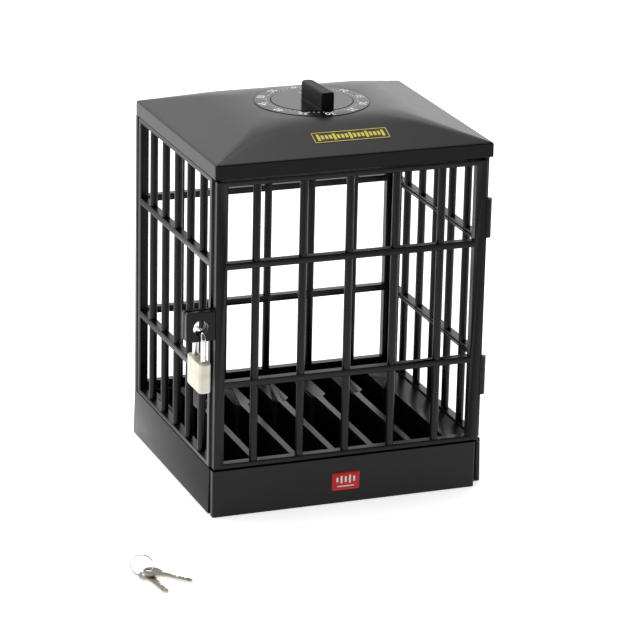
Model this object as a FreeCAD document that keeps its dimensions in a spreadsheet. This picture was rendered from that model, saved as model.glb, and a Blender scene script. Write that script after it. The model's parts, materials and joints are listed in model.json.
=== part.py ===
import FreeCAD, Part

import math
import os
import re

from FreeCAD import Placement, Rotation, Vector

# A small barred container with a slotted tray, a padlocked door and a wind-up timer in its roof.
# X runs along the door from hasp to hinges, Y from door to back, Z up from the floor.
# The origin is on the floor under the middle of the lid. All sizes are in millimetres.

DIMENSIONS = [
    # how far a cut runs past the face it opens, or a joined piece into its neighbour
    ("past", 1.0),
    # lid
    ("lid_half_width", 77.5),
    ("lid_half_depth", 66.6),
    ("lid_low", 185.8),
    ("rim_top", 193.4),
    ("roof_top", 205.0),
    ("roof_flat_half_width", 38.5),
    ("roof_flat_half_depth", 35.4),
    ("roof_softness", 34.0),
    ("lid_wall", 2.2),
    ("roof_flat_wall", 2.4),
    ("roof_drop", 1.8),
    ("roof_room_inset", 0.5),
    # base
    ("base_half_low", 78.4),
    ("base_half_high", 77.8),
    ("base_back_low", 67.8),
    ("base_back_high", 67.3),
    ("base_front", -62.6),
    ("base_low", 0.8),
    ("base_high", 26.0),
    ("base_inner_half", 75.4),
    ("base_inner_back", 64.9),
    ("base_floor", 2.8),
    ("base_corner", 2.0),
    ("foot_radius", 6.0),
    ("foot_height", 1.6),
    ("foot_reach_x", 66.0),
    ("foot_reach_y", 54.0),
    ("skirt_left", -77.5),
    ("skirt_right", 72.7),
    ("skirt_front", -67.9),
    ("skirt_back", -63.9),
    ("skirt_low", 0.3),
    ("skirt_high", 26.1),
    ("skirt_corner", 1.0),
    ("clip_reach", 28.0),
    ("clip_y", -59.5),
    ("clip_half", 5.0),
    ("clip_margin", 3.0),
    ("clip_wall", 1.4),
    ("clip_pin_radius", 1.5),
    ("clip_pin_reach", 1.7),
    ("badge_left", -10.2),
    ("badge_right", 5.5),
    ("badge_low", 7.6),
    ("badge_high", 17.7),
    ("badge_wall", 0.4),
    # barred panels
    ("panel_depth", 4.8),
    ("panel_high", 185.4),
    ("panel_play", 0.3),
    ("panel_overlap", 0.5),
    ("panel_tongue", 2.5),
    ("tongue_inset", 1.3),
    ("tongue_play", 0.1),
    ("tongue_high", 191.5),
    ("side_outer", 77.6),
    ("side_half_depth", 61.3),
    ("side_stile", 3.7),
    ("back_inner", 61.8),
    ("back_outer", 66.6),
    ("back_stile", 6.0),
    ("back_right_stile", 7.7),
    ("groove", 1.8),
    ("bar_radius", 2.15),
    ("bar_depth", 2.9),
    ("rail_height", 3.6),
    ("upper_rail", 136.7),
    ("lower_rail", 71.6),
    ("bottom_rail", 26.4),
    ("bottom_rail_height", 2.2),
    ("back_bottom_rail", 5.2),
    ("top_rail", 182.8),
    ("bar_count", 5),
    ("side_bar_pitch", 20.8),
    ("side_bar_middle", 1.0),
    ("back_bar_pitch", 25.8),
    ("back_bar_middle", -0.7),
    # door
    ("door_left", -76.6),
    ("door_right", 74.4),
    ("door_front", -66.6),
    ("door_low", 26.6),
    ("door_high", 184.5),
    ("door_left_stile", 5.5),
    ("door_right_stile", 6.1),
    ("door_top_rail", 181.7),
    ("door_bottom_rail", 2.9),
    ("door_bar_pitch", 25.85),
    ("door_bar_middle", -2.3),
    ("door_bar_depth", 2.2),
    # hinges
    ("hinge_x", 76.0),
    ("hinge_y", -64.5),
    ("hinge_upper", 151.95),
    ("hinge_lower", 63.45),
    ("knuckle_radius", 2.2),
    ("knuckle_room", 2.5),
    ("knuckle_end_room", 0.6),
    ("knuckle_reach", 10.75),
    ("door_knuckle_reach", 3.4),
    ("frame_knuckle_start", 3.7),
    ("hinge_pin_radius", 0.8),
    ("hinge_pin_play", 0.05),
    ("hinge_pin_reach", 11.2),
    ("leaf_wall", 0.8),
    ("door_leaf_reach", 7.2),
    ("door_leaf_half", 9.0),
    ("frame_leaf_inner", 2.4),
    ("frame_leaf_outer", 0.9),
    ("frame_leaf_proud", 0.2),
    ("leaf_neck_half", 0.9),
    # hasp
    ("hasp_left", -92.6),
    ("hasp_low", 99.2),
    ("hasp_high", 115.2),
    ("hasp_wall", 3.0),
    ("hasp_root", 4.0),
    ("stile_skin", 0.8),
    ("hasp_corner", 1.2),
    ("hasp_hole_x", -84.6),
    ("hasp_hole_z", 106.5),
    ("hasp_hole_radius", 4.2),
    ("staple_front", -62.2),
    # tray
    ("tray_low", 5.0),
    ("tray_high", 27.5),
    ("tray_half", 72.5),
    ("tray_front", -60.9),
    ("tray_back", 61.2),
    ("slot_floor", 6.6),
    ("slot_count", 6),
    ("slot_pitch", 22.2),
    ("slot_first", -62.0),
    ("slot_half", 9.1),
    ("slot_back_half", 6.1),
    ("slot_front", -57.0),
    ("shoulder_start", 19.5),
    ("shoulder_end", 25.0),
    ("slot_back", 58.0),
    ("ledge_start", 60.0),
    ("ledge_wall", 1.6),
    ("tray_boss_radius", 3.4),
    # screws
    ("screw_radius", 0.95),
    ("screw_head_radius", 2.0),
    ("screw_head_height", 1.0),
    ("screw_head_room", 0.2),
    ("screw_end_gap", 0.1),
    ("tray_screw_front", -50.0),
    ("tray_screw_back", 45.0),
    ("tray_screw_depth", 7.0),
    ("ceiling_screw_depth", 7.5),
    ("timer_screw_depth", 1.5),
    ("ceiling_play", 0.3),
    ("ceiling_wall", 1.6),
    ("ceiling_half_width", 72.5),
    ("ceiling_boss_x", 58.0),
    ("ceiling_boss_y", 48.0),
    ("ceiling_boss_radius", 3.0),
    ("ceiling_boss_top", 198.0),
    # dial
    ("dial_x", -0.4),
    ("disc_radius", 21.9),
    ("disc_room", 0.5),
    ("disc_low", 203.1),
    ("disc_high", 205.4),
    ("grip_half", 3.65),
    ("grip_front", -21.5),
    ("grip_back", 8.6),
    ("grip_top", 214.7),
    ("grip_turn", 3.2),
    ("grip_softness", 1.1),
    ("ring_radius", 31.2),
    ("ring_wall", 0.3),
    # label on the front slope, its depth measured along the slope
    ("label_left", -19.1),
    ("label_front", -55.4),
    ("label_length", 42.8),
    ("label_depth", 9.7),
    ("label_wall", 0.4),
    # timer
    ("case_radius", 29.0),
    ("case_wall", 0.8),
    ("case_low", 188.3),
    ("case_high", 201.8),
    ("cover_high", 202.6),
    ("ear_reach", 31.2),
    ("ear_radius", 2.3),
    ("ear_wall", 1.0),
    ("arbor_radius", 1.8),
    ("arbor_end", 0.6),
    ("arbor_rise", 3.0),
    ("pivot_radius", 0.6),
    ("running_play", 0.05),
    ("pivot_end_play", 0.2),
    ("plate_low", 190.8),
    ("plate_high", 191.4),
    ("plate_radius", 27.5),
    ("pillar_radius", 1.2),
    ("pillar_reach", 25.8),
    ("gear_module", 0.4),
    ("gear_wall", 0.8),
    ("gear_play", 0.08),
    ("gear_addendum", 0.8),
    ("gear_dedendum", 1.1),
    ("gear_centre_play", 0.03),
    ("pinion_overlap", 0.2),
    ("second_angle", -100.0),
    ("main_teeth", 60),
    ("second_teeth", 48),
    ("pinion_teeth", 15),
    ("main_wheel_low", 193.2),
    ("second_wheel_low", 191.8),
    ("cam_low", 194.3),
    ("cam_high", 195.0),
    ("cam_radius", 5.6),
    ("cam_lobe", 7.0),
    ("cam_lobe_half_angle", 14.0),
    ("cam_ramp_angle", 12.0),
    ("nose_angle", 19.92),
    ("nose_gap", 0.9),
    ("hammer_x", 11.5),
    ("hammer_y", 8.0),
    ("hammer_hub", 1.3),
    ("hammer_gap", 2.4),
    ("hammer_head_radius", 1.2),
    ("hammer_head_height", 4.2),
    ("lever_half", 0.6),
    ("pallet_reach", 21.0),
    ("pallet_angle", 29.9),
    ("pallet_hub", 1.5),
    ("pallet_spread", 42.0),
    ("pallet_gap", 1.3),
    ("escape_low", 195.3),
    ("escape_high", 195.9),
    ("escape_radius", 7.0),
    ("escape_root", 5.6),
    ("escape_teeth", 18),
    ("escape_rake", 0.15),
    ("escape_reach", 19.0),
    ("spring_low", 196.3),
    ("spring_high", 200.8),
    ("spring_start", 2.0),
    ("spring_end", 9.8),
    ("spring_wall", 0.25),
    ("spring_turns", 8),
    ("bell_radius", 8.0),
    ("bell_wall", 0.5),
    ("bell_low", 195.4),
    ("bell_high", 200.6),
    ("bell_y", 19.8),
    ("bell_corner", 3.0),
    ("bell_stem_radius", 1.2),
    # padlock
    ("lock_x", -84.3),
    ("lock_y", -63.2),
    ("lock_low", 73.0),
    ("lock_high", 89.0),
    ("lock_half_x", 3.4),
    ("lock_half_y", 10.8),
    ("lock_corner", 2.6),
    ("lock_softness", 0.6),
    ("shackle_radius", 1.4),
    ("shackle_reach", 6.6),
    ("shackle_bend", 3.5),
    ("shackle_crown", 104.2),
    ("toe_low", 84.5),
    ("heel_low", 78.0),
    ("shackle_play", 0.06),
    ("shackle_end_room", 0.5),
    ("notch_face", 0.3),
    ("notch_low", 86.1),
    ("notch_high", 88.3),
    ("bolt_low", 86.4),
    ("bolt_high", 88.0),
    ("bolt_half", 0.7),
    ("bolt_back", 1.7),
    ("bolt_tip_gap", 0.4),
    ("bolt_room", 0.3),
    ("coil_radius", 0.65),
    ("coil_wire", 0.12),
    ("coil_length", 1.9),
    ("coil_turns", 4),
    ("coil_gap", 0.1),
    ("plug_radius", 2.4),
    ("plug_high", 82.5),
    ("plug_play", 0.05),
    ("plug_end_room", 0.1),
    ("tail_radius", 1.0),
    ("tail_room", 0.4),
    ("tail_end_gap", 0.2),
    ("keyway_half", 0.7),
    ("keyway_reach", 2.05),
    ("keyway_end", 1.5),
    # keys
    ("key_wall", 1.0),
    ("key_head_radius", 5.0),
    ("key_hole_radius", 2.3),
    ("key_hole_offset", 1.9),
    ("key_blade_half", 1.9),
    ("key_length", 21.2),
    ("key_tip_length", 1.5),
    ("key_tip_low", -0.4),
    ("key_tip_high", 0.2),
    ("key_cut_start", 1.6),
    ("key_cut_pitch", 2.2),
    ("key_cut_flat", 0.8),
    ("key_cut_ridge", 0.3),
    ("ring_wire", 0.4),
    ("ring_loop", 5.88),
]

PRESSURE_ANGLE = math.radians(20)
FLANK_STEPS = 4
CAM_STEP_ANGLE = 5
SPRING_STEP_ANGLE = 30
EAR_ANGLES = (45, 165, 285)
PILLAR_ANGLES = (10, 135, 215)
HINGES = ("hinge_upper", "hinge_lower")
WAYS = {"X": Vector(1, 0, 0), "Y": Vector(0, 1, 0), "Z": Vector(0, 0, 1)}

doc = FreeCAD.newDocument("timed_lock_container")
sheet = doc.addObject("Spreadsheet::Sheet", "Dims")
size = {}
nodes = []


def fill_sheet():
    """Gives each driving dimension a row of the sheet: its name, its value and its alias."""
    for row, (name, value) in enumerate(DIMENSIONS, start=1):
        sheet.set("A%d" % row, name)
        sheet.set("B%d" % row, repr(value))
        sheet.setAlias("B%d" % row, name)
        size[name] = value
    doc.recompute()


def bound(text):
    """Puts the sheet's name before each alias, so that an expression can follow the cell."""
    def qualified(word):
        return "Dims." + word.group() if word.group() in size else word.group()
    return re.sub(r"[a-z_]+", qualified, str(text))


def sized(piece, **expressions):
    for name, text in expressions.items():
        piece.setExpression(name, bound(text))
    return piece


def placed(piece, x=0, y=0, z=0):
    for axis, text in zip("xyz", (x, y, z)):
        piece.setExpression("Placement.Base." + axis, bound(text))
    return piece


def turned(piece, rotation):
    piece.Placement = Placement(Vector(), rotation)
    return piece


def box(x, y, z):
    """A block. Each of x, y and z is a pair of expressions: where it starts and where it ends."""
    block = doc.addObject("Part::Box", "Block")
    for name, (low, high) in zip(("Length", "Width", "Height"), (x, y, z)):
        block.setExpression(name, bound("(%s) - (%s)" % (high, low)))
    return placed(block, x[0], y[0], z[0])


def rod(radius, start, length, way="Z"):
    """A round bar from its start along +X, +Y or +Z."""
    bar = turned(doc.addObject("Part::Cylinder", "Rod"), Rotation(WAYS["Z"], WAYS[way]))
    return placed(sized(bar, Radius=radius, Height=length), *start)


def post(radius, x, y, low, high):
    return rod(radius, (x, y, low), "(%s) - (%s)" % (high, low))


def hip(low, high, wide_low, wide_high, deep_low, deep_high):
    """A block from z low to z high whose sides lean; wide and deep are pairs of limits in X and Y."""
    wedge = turned(doc.addObject("Part::Wedge", "Hip"), Rotation(WAYS["X"], 90))
    sized(wedge, Ymin=low, Ymax=high)
    sized(wedge, Xmin=wide_low[0], Xmax=wide_low[1], X2min=wide_high[0], X2max=wide_high[1])
    sized(wedge, Zmin="-(%s)" % deep_low[1], Zmax="-(%s)" % deep_low[0])
    sized(wedge, Z2min="-(%s)" % deep_high[1], Z2max="-(%s)" % deep_high[0])
    return wedge


def joined(*pieces):
    fused = doc.addObject("Part::MultiFuse", "Joined")
    fused.Shapes = list(pieces)
    fused.Refine = True
    return fused


def cut(piece, *tools):
    trimmed = doc.addObject("Part::Cut", "Trimmed")
    trimmed.Base = piece
    trimmed.Tool = tools[0] if len(tools) == 1 else joined(*tools)
    trimmed.Refine = True
    return trimmed


def group(*pieces):
    """Separate solids that share one node."""
    loose = doc.addObject("Part::Compound", "Group")
    loose.Links = list(pieces)
    return loose


def rounded(piece, radius, wanted):
    """Rounds the edges whose bounding box passes the test wanted."""
    doc.recompute()
    numbered = enumerate(piece.Shape.Edges, start=1)
    chosen = [(number, radius, radius) for number, edge in numbered if wanted(edge.BoundBox)]
    fillet = doc.addObject("Part::Fillet", "Rounded")
    fillet.Base = piece
    fillet.Edges = chosen
    return fillet


def drawn(shape, x=0.0, y=0.0, z=0.0):
    """A shape that primitives can't give, such as a gear, set beside its place."""
    feature = doc.addObject("Part::Feature", "Drawn")
    feature.Shape = shape
    return placed(feature, x, y, z)


def node(name, piece):
    piece.Label = name
    nodes.append(piece)
    return piece


def both(value):
    """The two mirrored places of a value."""
    return ("-(%s)" % value, value)


def wider(value, by):
    return both("%s + (%s)" % (value, by))


def upright(box_bounds):
    return box_bounds.ZLength > 0.5 and box_bounds.XLength < 0.01 and box_bounds.YLength < 0.01


# ---------------------------------------------------------------- base

def base_tub():
    outer = hip("base_low", "base_high", both("base_half_low"), both("base_half_high"),
                ("base_front", "base_back_low"), ("base_front", "base_back_high"))
    soft = rounded(outer, size["base_corner"], lambda bounds: bounds.ZLength > 20 and bounds.YMax > 0)
    room = box(both("base_inner_half"), ("base_front - past", "base_inner_back"),
               ("base_floor", "base_high + past"))
    sockets = [post("foot_radius + running_play", x, y, "base_low - past", "foot_height")
               for x, y in foot_places()]
    screw_rooms = [post("screw_radius + running_play", x, y, "base_low", "base_floor + past")
                   for x, y in tray_screw_places()]
    head_rooms = [post("screw_head_radius + screw_head_room", x, y, "base_low - past",
                       "base_low + screw_head_height + screw_end_gap") for x, y in tray_screw_places()]
    clip_rooms = [post("clip_pin_radius + running_play", x, "clip_y", "base_low - past", "base_floor + past")
                  for x in both("clip_reach")]
    return node("base_tub", cut(soft, room, *sockets, *screw_rooms, *head_rooms, *clip_rooms))


def foot_places():
    """Near the four corners, and one in the middle that carries the floor of the tub."""
    corners = [(x, y) for x in both("foot_reach_x") for y in both("foot_reach_y")]
    return corners + [(0, 0)]


def tray_screw_places():
    """Under the second and the sixth divider from the left, near the front and near the back."""
    dividers = [size["slot_first"] + size["slot_pitch"] * (number - 1.5) for number in (2, 6)]
    return [(x, y) for x in dividers for y in (size["tray_screw_front"], size["tray_screw_back"])]


def front_skirt():
    outer = box(("skirt_left", "skirt_right"), ("skirt_front", "skirt_back"), ("skirt_low", "skirt_high"))
    room = box(("skirt_left + lid_wall", "skirt_right - lid_wall"),
               ("skirt_front + lid_wall", "skirt_back + past"),
               ("skirt_low - past", "skirt_high - lid_wall"))
    soft = rounded(outer, size["skirt_corner"],
                   lambda bounds: upright(bounds) and bounds.YMax < size["skirt_front"] + 1)
    shell = cut(soft, room)
    arms = []
    for x in both("clip_reach"):
        arms.append(box(("%s - clip_half" % x, "%s + clip_half" % x),
                        ("skirt_front + lid_wall / 2", "clip_y + clip_margin"),
                        ("base_floor", "base_floor + clip_wall")))
        arms.append(post("clip_pin_radius", x, "clip_y", "base_floor - clip_pin_reach", "base_floor + past"))
    return node("front_skirt", joined(shell, *arms))


def rubber_feet():
    feet = [post("foot_radius", x, y, 0, "foot_height") for x, y in foot_places()]
    return node("rubber_feet", group(*feet))


def base_screws():
    screws = []
    for x, y in tray_screw_places():
        seat = "base_low + screw_head_height + screw_end_gap"
        head = post("screw_head_radius", x, y, "%s - screw_head_height" % seat, seat)
        shank = post("screw_radius", x, y, seat, "tray_low + tray_screw_depth")
        screws.append(joined(head, shank))
    return node("base_screws", group(*screws))


# ---------------------------------------------------------------- tray

def plane_of(body, role):
    return next(plane for plane in body.Origin.OriginFeatures if plane.Role == role)


def sketched(body, height, edges):
    """A sketch of the given edges, level at the given height."""
    sketch = body.newObject("Sketcher::SketchObject", "Outline")
    sketch.AttachmentSupport = [(plane_of(body, "XY_Plane"), "")]
    sketch.MapMode = "FlatFace"
    sketch.setExpression("AttachmentOffset.Base.z", bound(height))
    for edge in edges:
        sketch.addGeometry(edge, False)
    return sketch


def padded(body, sketch, length):
    pad = sized(body.newObject("PartDesign::Pad", "Raised"), Length=length)
    pad.Profile = sketch
    return pad


def pocketed(body, sketch, depth, upward=False):
    pocket = sized(body.newObject("PartDesign::Pocket", "Sunk"), Length=depth)
    pocket.Profile = sketch
    pocket.Reversed = upward
    return pocket


def loop(points):
    """Straight edges through the points and back to the first."""
    corners = [Vector(x, y, 0) for x, y in points]
    return [Part.LineSegment(a, b) for a, b in zip(corners, corners[1:] + corners[:1])]


def rectangle(left, right, front, back):
    return loop([(left, front), (right, front), (right, back), (left, back)])


def circle(x, y, radius):
    return Part.Circle(Vector(x, y, 0), Vector(0, 0, 1), radius)


def shoulder(middle, side):
    """The S that narrows a slot: two equal arcs, each turning away from the slot's length."""
    wide, narrow = size["slot_half"], size["slot_back_half"]
    start, end = size["shoulder_start"], size["shoulder_end"]
    run, shift = end - start, wide - narrow
    radius = (run ** 2 + shift ** 2) / (4 * shift)
    half_turn = math.atan2(shift, run)
    across, along = radius * (1 - math.cos(half_turn)), radius * math.sin(half_turn)
    points = [(wide, start), (wide - across, start + along), (wide - shift / 2, start + run / 2),
              (narrow + across, end - along), (narrow, end)]
    placed_points = [Vector(middle + side * x, y, 0) for x, y in points]
    return [Part.Arc(*placed_points[:3]), Part.Arc(*placed_points[2:])]


def slot_outline(middle):
    wide, narrow = size["slot_half"], size["slot_back_half"]
    front, back = size["slot_front"], size["slot_back"]
    start, end = size["shoulder_start"], size["shoulder_end"]

    def straight(x1, y1, x2, y2):
        return Part.LineSegment(Vector(middle + x1, y1, 0), Vector(middle + x2, y2, 0))
    return [straight(-wide, front, wide, front), straight(wide, front, wide, start),
            *shoulder(middle, 1), straight(narrow, end, narrow, back),
            straight(narrow, back, -narrow, back), straight(-narrow, back, -narrow, end),
            *shoulder(middle, -1), straight(-wide, start, -wide, front)]


def phone_tray():
    body = doc.addObject("PartDesign::Body", "Tray")
    half, front, back = size["tray_half"], size["tray_front"], size["tray_back"]
    block = sketched(body, "tray_low", rectangle(-half, half, front, back))
    padded(body, block, "tray_high - tray_low")
    doc.recompute()
    slot_sketch = sketched(body, "tray_high", slot_outline(size["slot_first"]))
    slot = pocketed(body, slot_sketch, "tray_high - slot_floor")
    doc.recompute()
    slots = body.newObject("PartDesign::LinearPattern", "Slots")
    slots.Originals = [slot]
    slots.Direction = (slot_sketch, ["H_Axis"])
    sized(slots, Length="slot_pitch * (slot_count - 1)", Occurrences="slot_count")
    body.Tip = slots
    doc.recompute()
    wall = size["ledge_wall"]
    under_ledge = rectangle(size["ledge_start"], half - wall, front + wall, back - wall)
    hollow = sketched(body, "tray_low", under_ledge)
    pocketed(body, hollow, "tray_high - tray_low - ledge_wall", upward=True)
    doc.recompute()
    places = tray_screw_places()
    bosses = sketched(body, "base_floor", [circle(x, y, size["tray_boss_radius"]) for x, y in places])
    padded(body, bosses, "tray_low - base_floor")
    doc.recompute()
    pilots = sketched(body, "base_floor", [circle(x, y, size["screw_radius"]) for x, y in places])
    pocketed(body, pilots, "tray_low + tray_screw_depth + screw_end_gap - base_floor", upward=True)
    doc.recompute()
    return node("phone_tray", body)


# ---------------------------------------------------------------- barred panels

def side_limits(side, near, far):
    """Limits in X on the right side, or the same mirrored to the left."""
    return (near, far) if side > 0 else ("-(%s)" % far, "-(%s)" % near)


def window_heights(low, top):
    """The three rows of openings between the rails."""
    return [(low, "lower_rail"), ("lower_rail + rail_height", "upper_rail"),
            ("upper_rail + rail_height", top)]


def bar_places(middle, pitch):
    first = -(size["bar_count"] - 1) / 2
    return ["%s + %s * (%g)" % (middle, pitch, first + step) for step in range(int(size["bar_count"]))]


def side_grille(name, side):
    plate = box(side_limits(side, "side_outer - panel_depth", "side_outer"), both("side_half_depth"),
                ("bottom_rail", "panel_high"))
    windows = [box(side_limits(side, "side_outer - panel_depth - past", "side_outer + past"),
                   wider("side_half_depth", "-side_stile"), heights)
               for heights in window_heights("bottom_rail + bottom_rail_height", "top_rail")]
    bar_x = "%d * (side_outer - bar_depth)" % side
    bars = [post("bar_radius", bar_x, y, "bottom_rail + past", "top_rail + past")
            for y in bar_places("side_bar_middle", "side_bar_pitch")]
    tongues = [box(side_limits(side, "side_outer - panel_depth", "side_outer - panel_depth + panel_tongue"),
                   wider("side_half_depth", "-tongue_inset"), heights)
               for heights in (("base_floor", "bottom_rail"), ("panel_high", "tongue_high"))]
    panel = joined(cut(plate, *windows), *bars, *tongues)
    if side > 0:
        recesses = [box(frame_leaf_width(), ("-side_half_depth - past", "-side_half_depth + leaf_wall"),
                        knuckle_height(z)) for z in HINGES]
    else:
        recesses = [box(("-side_outer - past", "-side_outer + hasp_root"),
                        ("-side_half_depth - past", "staple_front + hasp_wall"), ("hasp_low", "hasp_high"))]
    return node(name, cut(panel, *recesses))


def back_grille():
    inner = box(both("side_outer - panel_depth + panel_tongue - panel_play"),
                ("back_inner", "back_inner + groove + panel_overlap"), ("bottom_rail", "panel_high"))
    outer = box(both("side_outer"), ("back_inner + groove", "back_outer"), ("bottom_rail", "panel_high"))
    windows = [box(("back_stile - side_outer", "side_outer - back_right_stile"),
                   ("back_inner - past", "back_outer + past"), heights)
               for heights in window_heights("bottom_rail + back_bottom_rail", "top_rail")]
    bars = [post("bar_radius", x, "back_outer - bar_depth", "bottom_rail + past", "top_rail + past")
            for x in bar_places("back_bar_middle", "back_bar_pitch")]
    low_tongue = box(wider("side_outer", "-back_stile"), ("back_inner", "base_inner_back - tongue_play"),
                     ("base_floor", "bottom_rail"))
    high_tongue = box(wider("side_outer", "-back_stile"),
                      ("back_inner", "lid_half_depth - lid_wall - tongue_play"),
                      ("panel_high", "tongue_high"))
    panel = cut(joined(inner, outer), *windows)
    return node("back_grille", joined(panel, *bars, low_tongue, high_tongue))


# ---------------------------------------------------------------- door

def door_grille():
    plate = box(("door_left", "door_right"), ("door_front", "door_front + panel_depth"),
                ("door_low", "door_high"))
    windows = [box(("door_left + door_left_stile", "door_right - door_right_stile"),
                   ("door_front - past", "door_front + panel_depth + past"), heights)
               for heights in window_heights("door_low + door_bottom_rail", "door_top_rail")]
    bars = [post("bar_radius", x, "door_front + door_bar_depth", "door_low + past", "door_top_rail + past")
            for x in bar_places("door_bar_middle", "door_bar_pitch")]
    barred = joined(cut(plate, *windows), *bars)
    knuckle_rooms = [post("knuckle_room", "hinge_x", "hinge_y", *knuckle_height(z, "knuckle_end_room"))
                     for z in HINGES]
    leaf_rooms = [box(("hinge_x - door_leaf_reach", "door_right + past"), door_leaf_depth(),
                      door_leaf_height(z)) for z in HINGES]
    hasp_room = box(("door_left - past", "door_left + hasp_root"),
                    ("door_front + stile_skin", "door_front + hasp_wall"), ("hasp_low", "hasp_high"))
    return node("door_grille", cut(barred, *knuckle_rooms, *leaf_rooms, hasp_room))


def door_leaf_depth():
    return ("door_front + panel_depth - leaf_wall", "door_front + panel_depth")


def door_leaf_height(z):
    return ("%s - door_leaf_half" % z, "%s + door_leaf_half" % z)


def frame_leaf_width():
    return ("hinge_x - frame_leaf_inner", "hinge_x + frame_leaf_outer")


def knuckle_height(z, more="0"):
    """From end to end of a hinge's knuckles, and more at either end."""
    return ("%s - knuckle_reach - %s" % (z, more), "%s + knuckle_reach + %s" % (z, more))


def bored(piece, radius, z):
    return cut(piece, post(radius, "hinge_x", "hinge_y", *knuckle_height(z, "past")))


def door_hinge_leaves():
    leaves = []
    for z in HINGES:
        short = ("%s - door_knuckle_reach" % z, "%s + door_knuckle_reach" % z)
        knuckle = post("knuckle_radius", "hinge_x", "hinge_y", *short)
        neck = box(("door_right - past", "hinge_x"), door_leaf_depth(), short)
        plate = cut(box(("hinge_x - door_leaf_reach", "door_right"), door_leaf_depth(), door_leaf_height(z)),
                    post("knuckle_room", "hinge_x", "hinge_y", *knuckle_height(z, "past")))
        leaves.append(bored(joined(knuckle, neck, plate), "hinge_pin_radius + hinge_pin_play", z))
    return node("door_hinge_leaves", group(*leaves))


def frame_hinge_leaves():
    leaves = []
    for z in HINGES:
        plate_depth = ("-side_half_depth - frame_leaf_proud", "-side_half_depth + leaf_wall")
        neck_depth = ("hinge_y + past", "-side_half_depth + leaf_wall")
        pieces = [box(frame_leaf_width(), plate_depth, knuckle_height(z))]
        below = ("%s - knuckle_reach" % z, "%s - frame_knuckle_start" % z)
        above = ("%s + frame_knuckle_start" % z, "%s + knuckle_reach" % z)
        for span in (below, above):
            pieces.append(post("knuckle_radius", "hinge_x", "hinge_y", *span))
            pieces.append(box(("hinge_x - leaf_neck_half", "hinge_x + leaf_neck_half"), neck_depth, span))
        leaves.append(bored(joined(*pieces), "hinge_pin_radius", z))
    return node("frame_hinge_leaves", group(*leaves))


def hinge_pins():
    pins = [post("hinge_pin_radius", "hinge_x", "hinge_y", "%s - hinge_pin_reach" % z,
                 "%s + hinge_pin_reach" % z) for z in HINGES]
    return node("hinge_pins", group(*pins))


def hasp_plate(name, front, root_front, root_x):
    """A plate beside the stile with the lock's hole, and a root let into the stile."""
    ear = box(("hasp_left", root_x), (front, "%s + hasp_wall" % front), ("hasp_low", "hasp_high"))
    soft = rounded(ear, size["hasp_corner"], lambda bounds: bounds.YLength > 1 and bounds.ZLength < 0.01
                   and bounds.XMax < size["hasp_left"] + 0.1)
    root = box(("%s - past" % root_x, "%s + hasp_root" % root_x), (root_front, "%s + hasp_wall" % front),
               ("hasp_low", "hasp_high"))
    hole = rod("hasp_hole_radius", ("hasp_hole_x", "%s - past" % front, "hasp_hole_z"),
               "hasp_wall + 2 * past", "Y")
    return node(name, cut(joined(soft, root), hole))


# ---------------------------------------------------------------- lid

def roof_lid():
    rim = box(both("lid_half_width"), both("lid_half_depth"), ("lid_low", "rim_top"))
    slopes = hip("rim_top", "roof_top", both("lid_half_width"), both("roof_flat_half_width"),
                 both("lid_half_depth"), both("roof_flat_half_depth"))
    flat_edges = rounded(slopes, size["roof_softness"],
                         lambda bounds: bounds.ZMin > size["roof_top"] - 0.01)
    low_room = box(wider("lid_half_width", "-lid_wall"), wider("lid_half_depth", "-lid_wall"),
                   ("lid_low - past", "rim_top - roof_drop"))
    high_room = hip("rim_top - roof_drop", "roof_top - roof_flat_wall", wider("lid_half_width", "-lid_wall"),
                    wider("roof_flat_half_width", "-roof_room_inset"), wider("lid_half_depth", "-lid_wall"),
                    wider("roof_flat_half_depth", "-roof_room_inset"))
    shell = cut(joined(rim, flat_edges), low_room, high_room)
    bosses = [post("ceiling_boss_radius", x, y, "lid_low + ceiling_wall", "ceiling_boss_top")
              for x, y in ceiling_boss_places()]
    pilots = [post("screw_radius", x, y, "lid_low", "lid_low + ceiling_screw_depth + screw_end_gap")
              for x, y in ceiling_boss_places()]
    dial_hole = post("disc_radius + disc_room", "dial_x", 0, "cover_high - past", "roof_top + past")
    timer_pilots = [post("screw_radius", x, y, "cover_high - past",
                         "cover_high + timer_screw_depth + screw_end_gap") for x, y in ear_places()]
    return node("roof_lid", cut(joined(shell, *bosses), dial_hole, *pilots, *timer_pilots))


def ceiling_boss_places():
    return [(x, y) for x in both("ceiling_boss_x") for y in both("ceiling_boss_y")]


def ceiling_plate():
    plate = box(both("ceiling_half_width"),
                ("-lid_half_depth + lid_wall + ceiling_play", "back_inner - ceiling_play"),
                ("lid_low", "lid_low + ceiling_wall"))
    holes = [post("screw_radius + running_play", x, y, "lid_low - past", "lid_low + ceiling_wall + past")
             for x, y in ceiling_boss_places()]
    return node("ceiling_plate", cut(plate, *holes))


def ceiling_screws():
    screws = []
    for x, y in ceiling_boss_places():
        head = post("screw_head_radius", x, y, "lid_low - screw_head_height", "lid_low")
        screws.append(joined(head, post("screw_radius", x, y, "lid_low", "lid_low + ceiling_screw_depth")))
    return node("ceiling_screws", group(*screws))


def number_ring():
    disc = post("ring_radius", "dial_x", 0, "roof_top", "roof_top + ring_wall")
    hole = post("disc_radius + disc_room", "dial_x", 0, "roof_top - past", "roof_top + past")
    return node("number_ring", cut(disc, hole))


def roof_label_plate():
    rise = size["roof_top"] - size["rim_top"]
    run = size["lid_half_depth"] - size["roof_flat_half_depth"]
    tilt = math.degrees(math.atan2(rise, run))
    plate = turned(doc.addObject("Part::Box", "Label"), Rotation(WAYS["X"], tilt))
    sized(plate, Length="label_length", Width="label_depth", Height="label_wall")
    height = "rim_top + (lid_half_depth + label_front) * %.6f" % (rise / run)
    return node("roof_label_plate", placed(plate, "label_left", "label_front", height))


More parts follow.
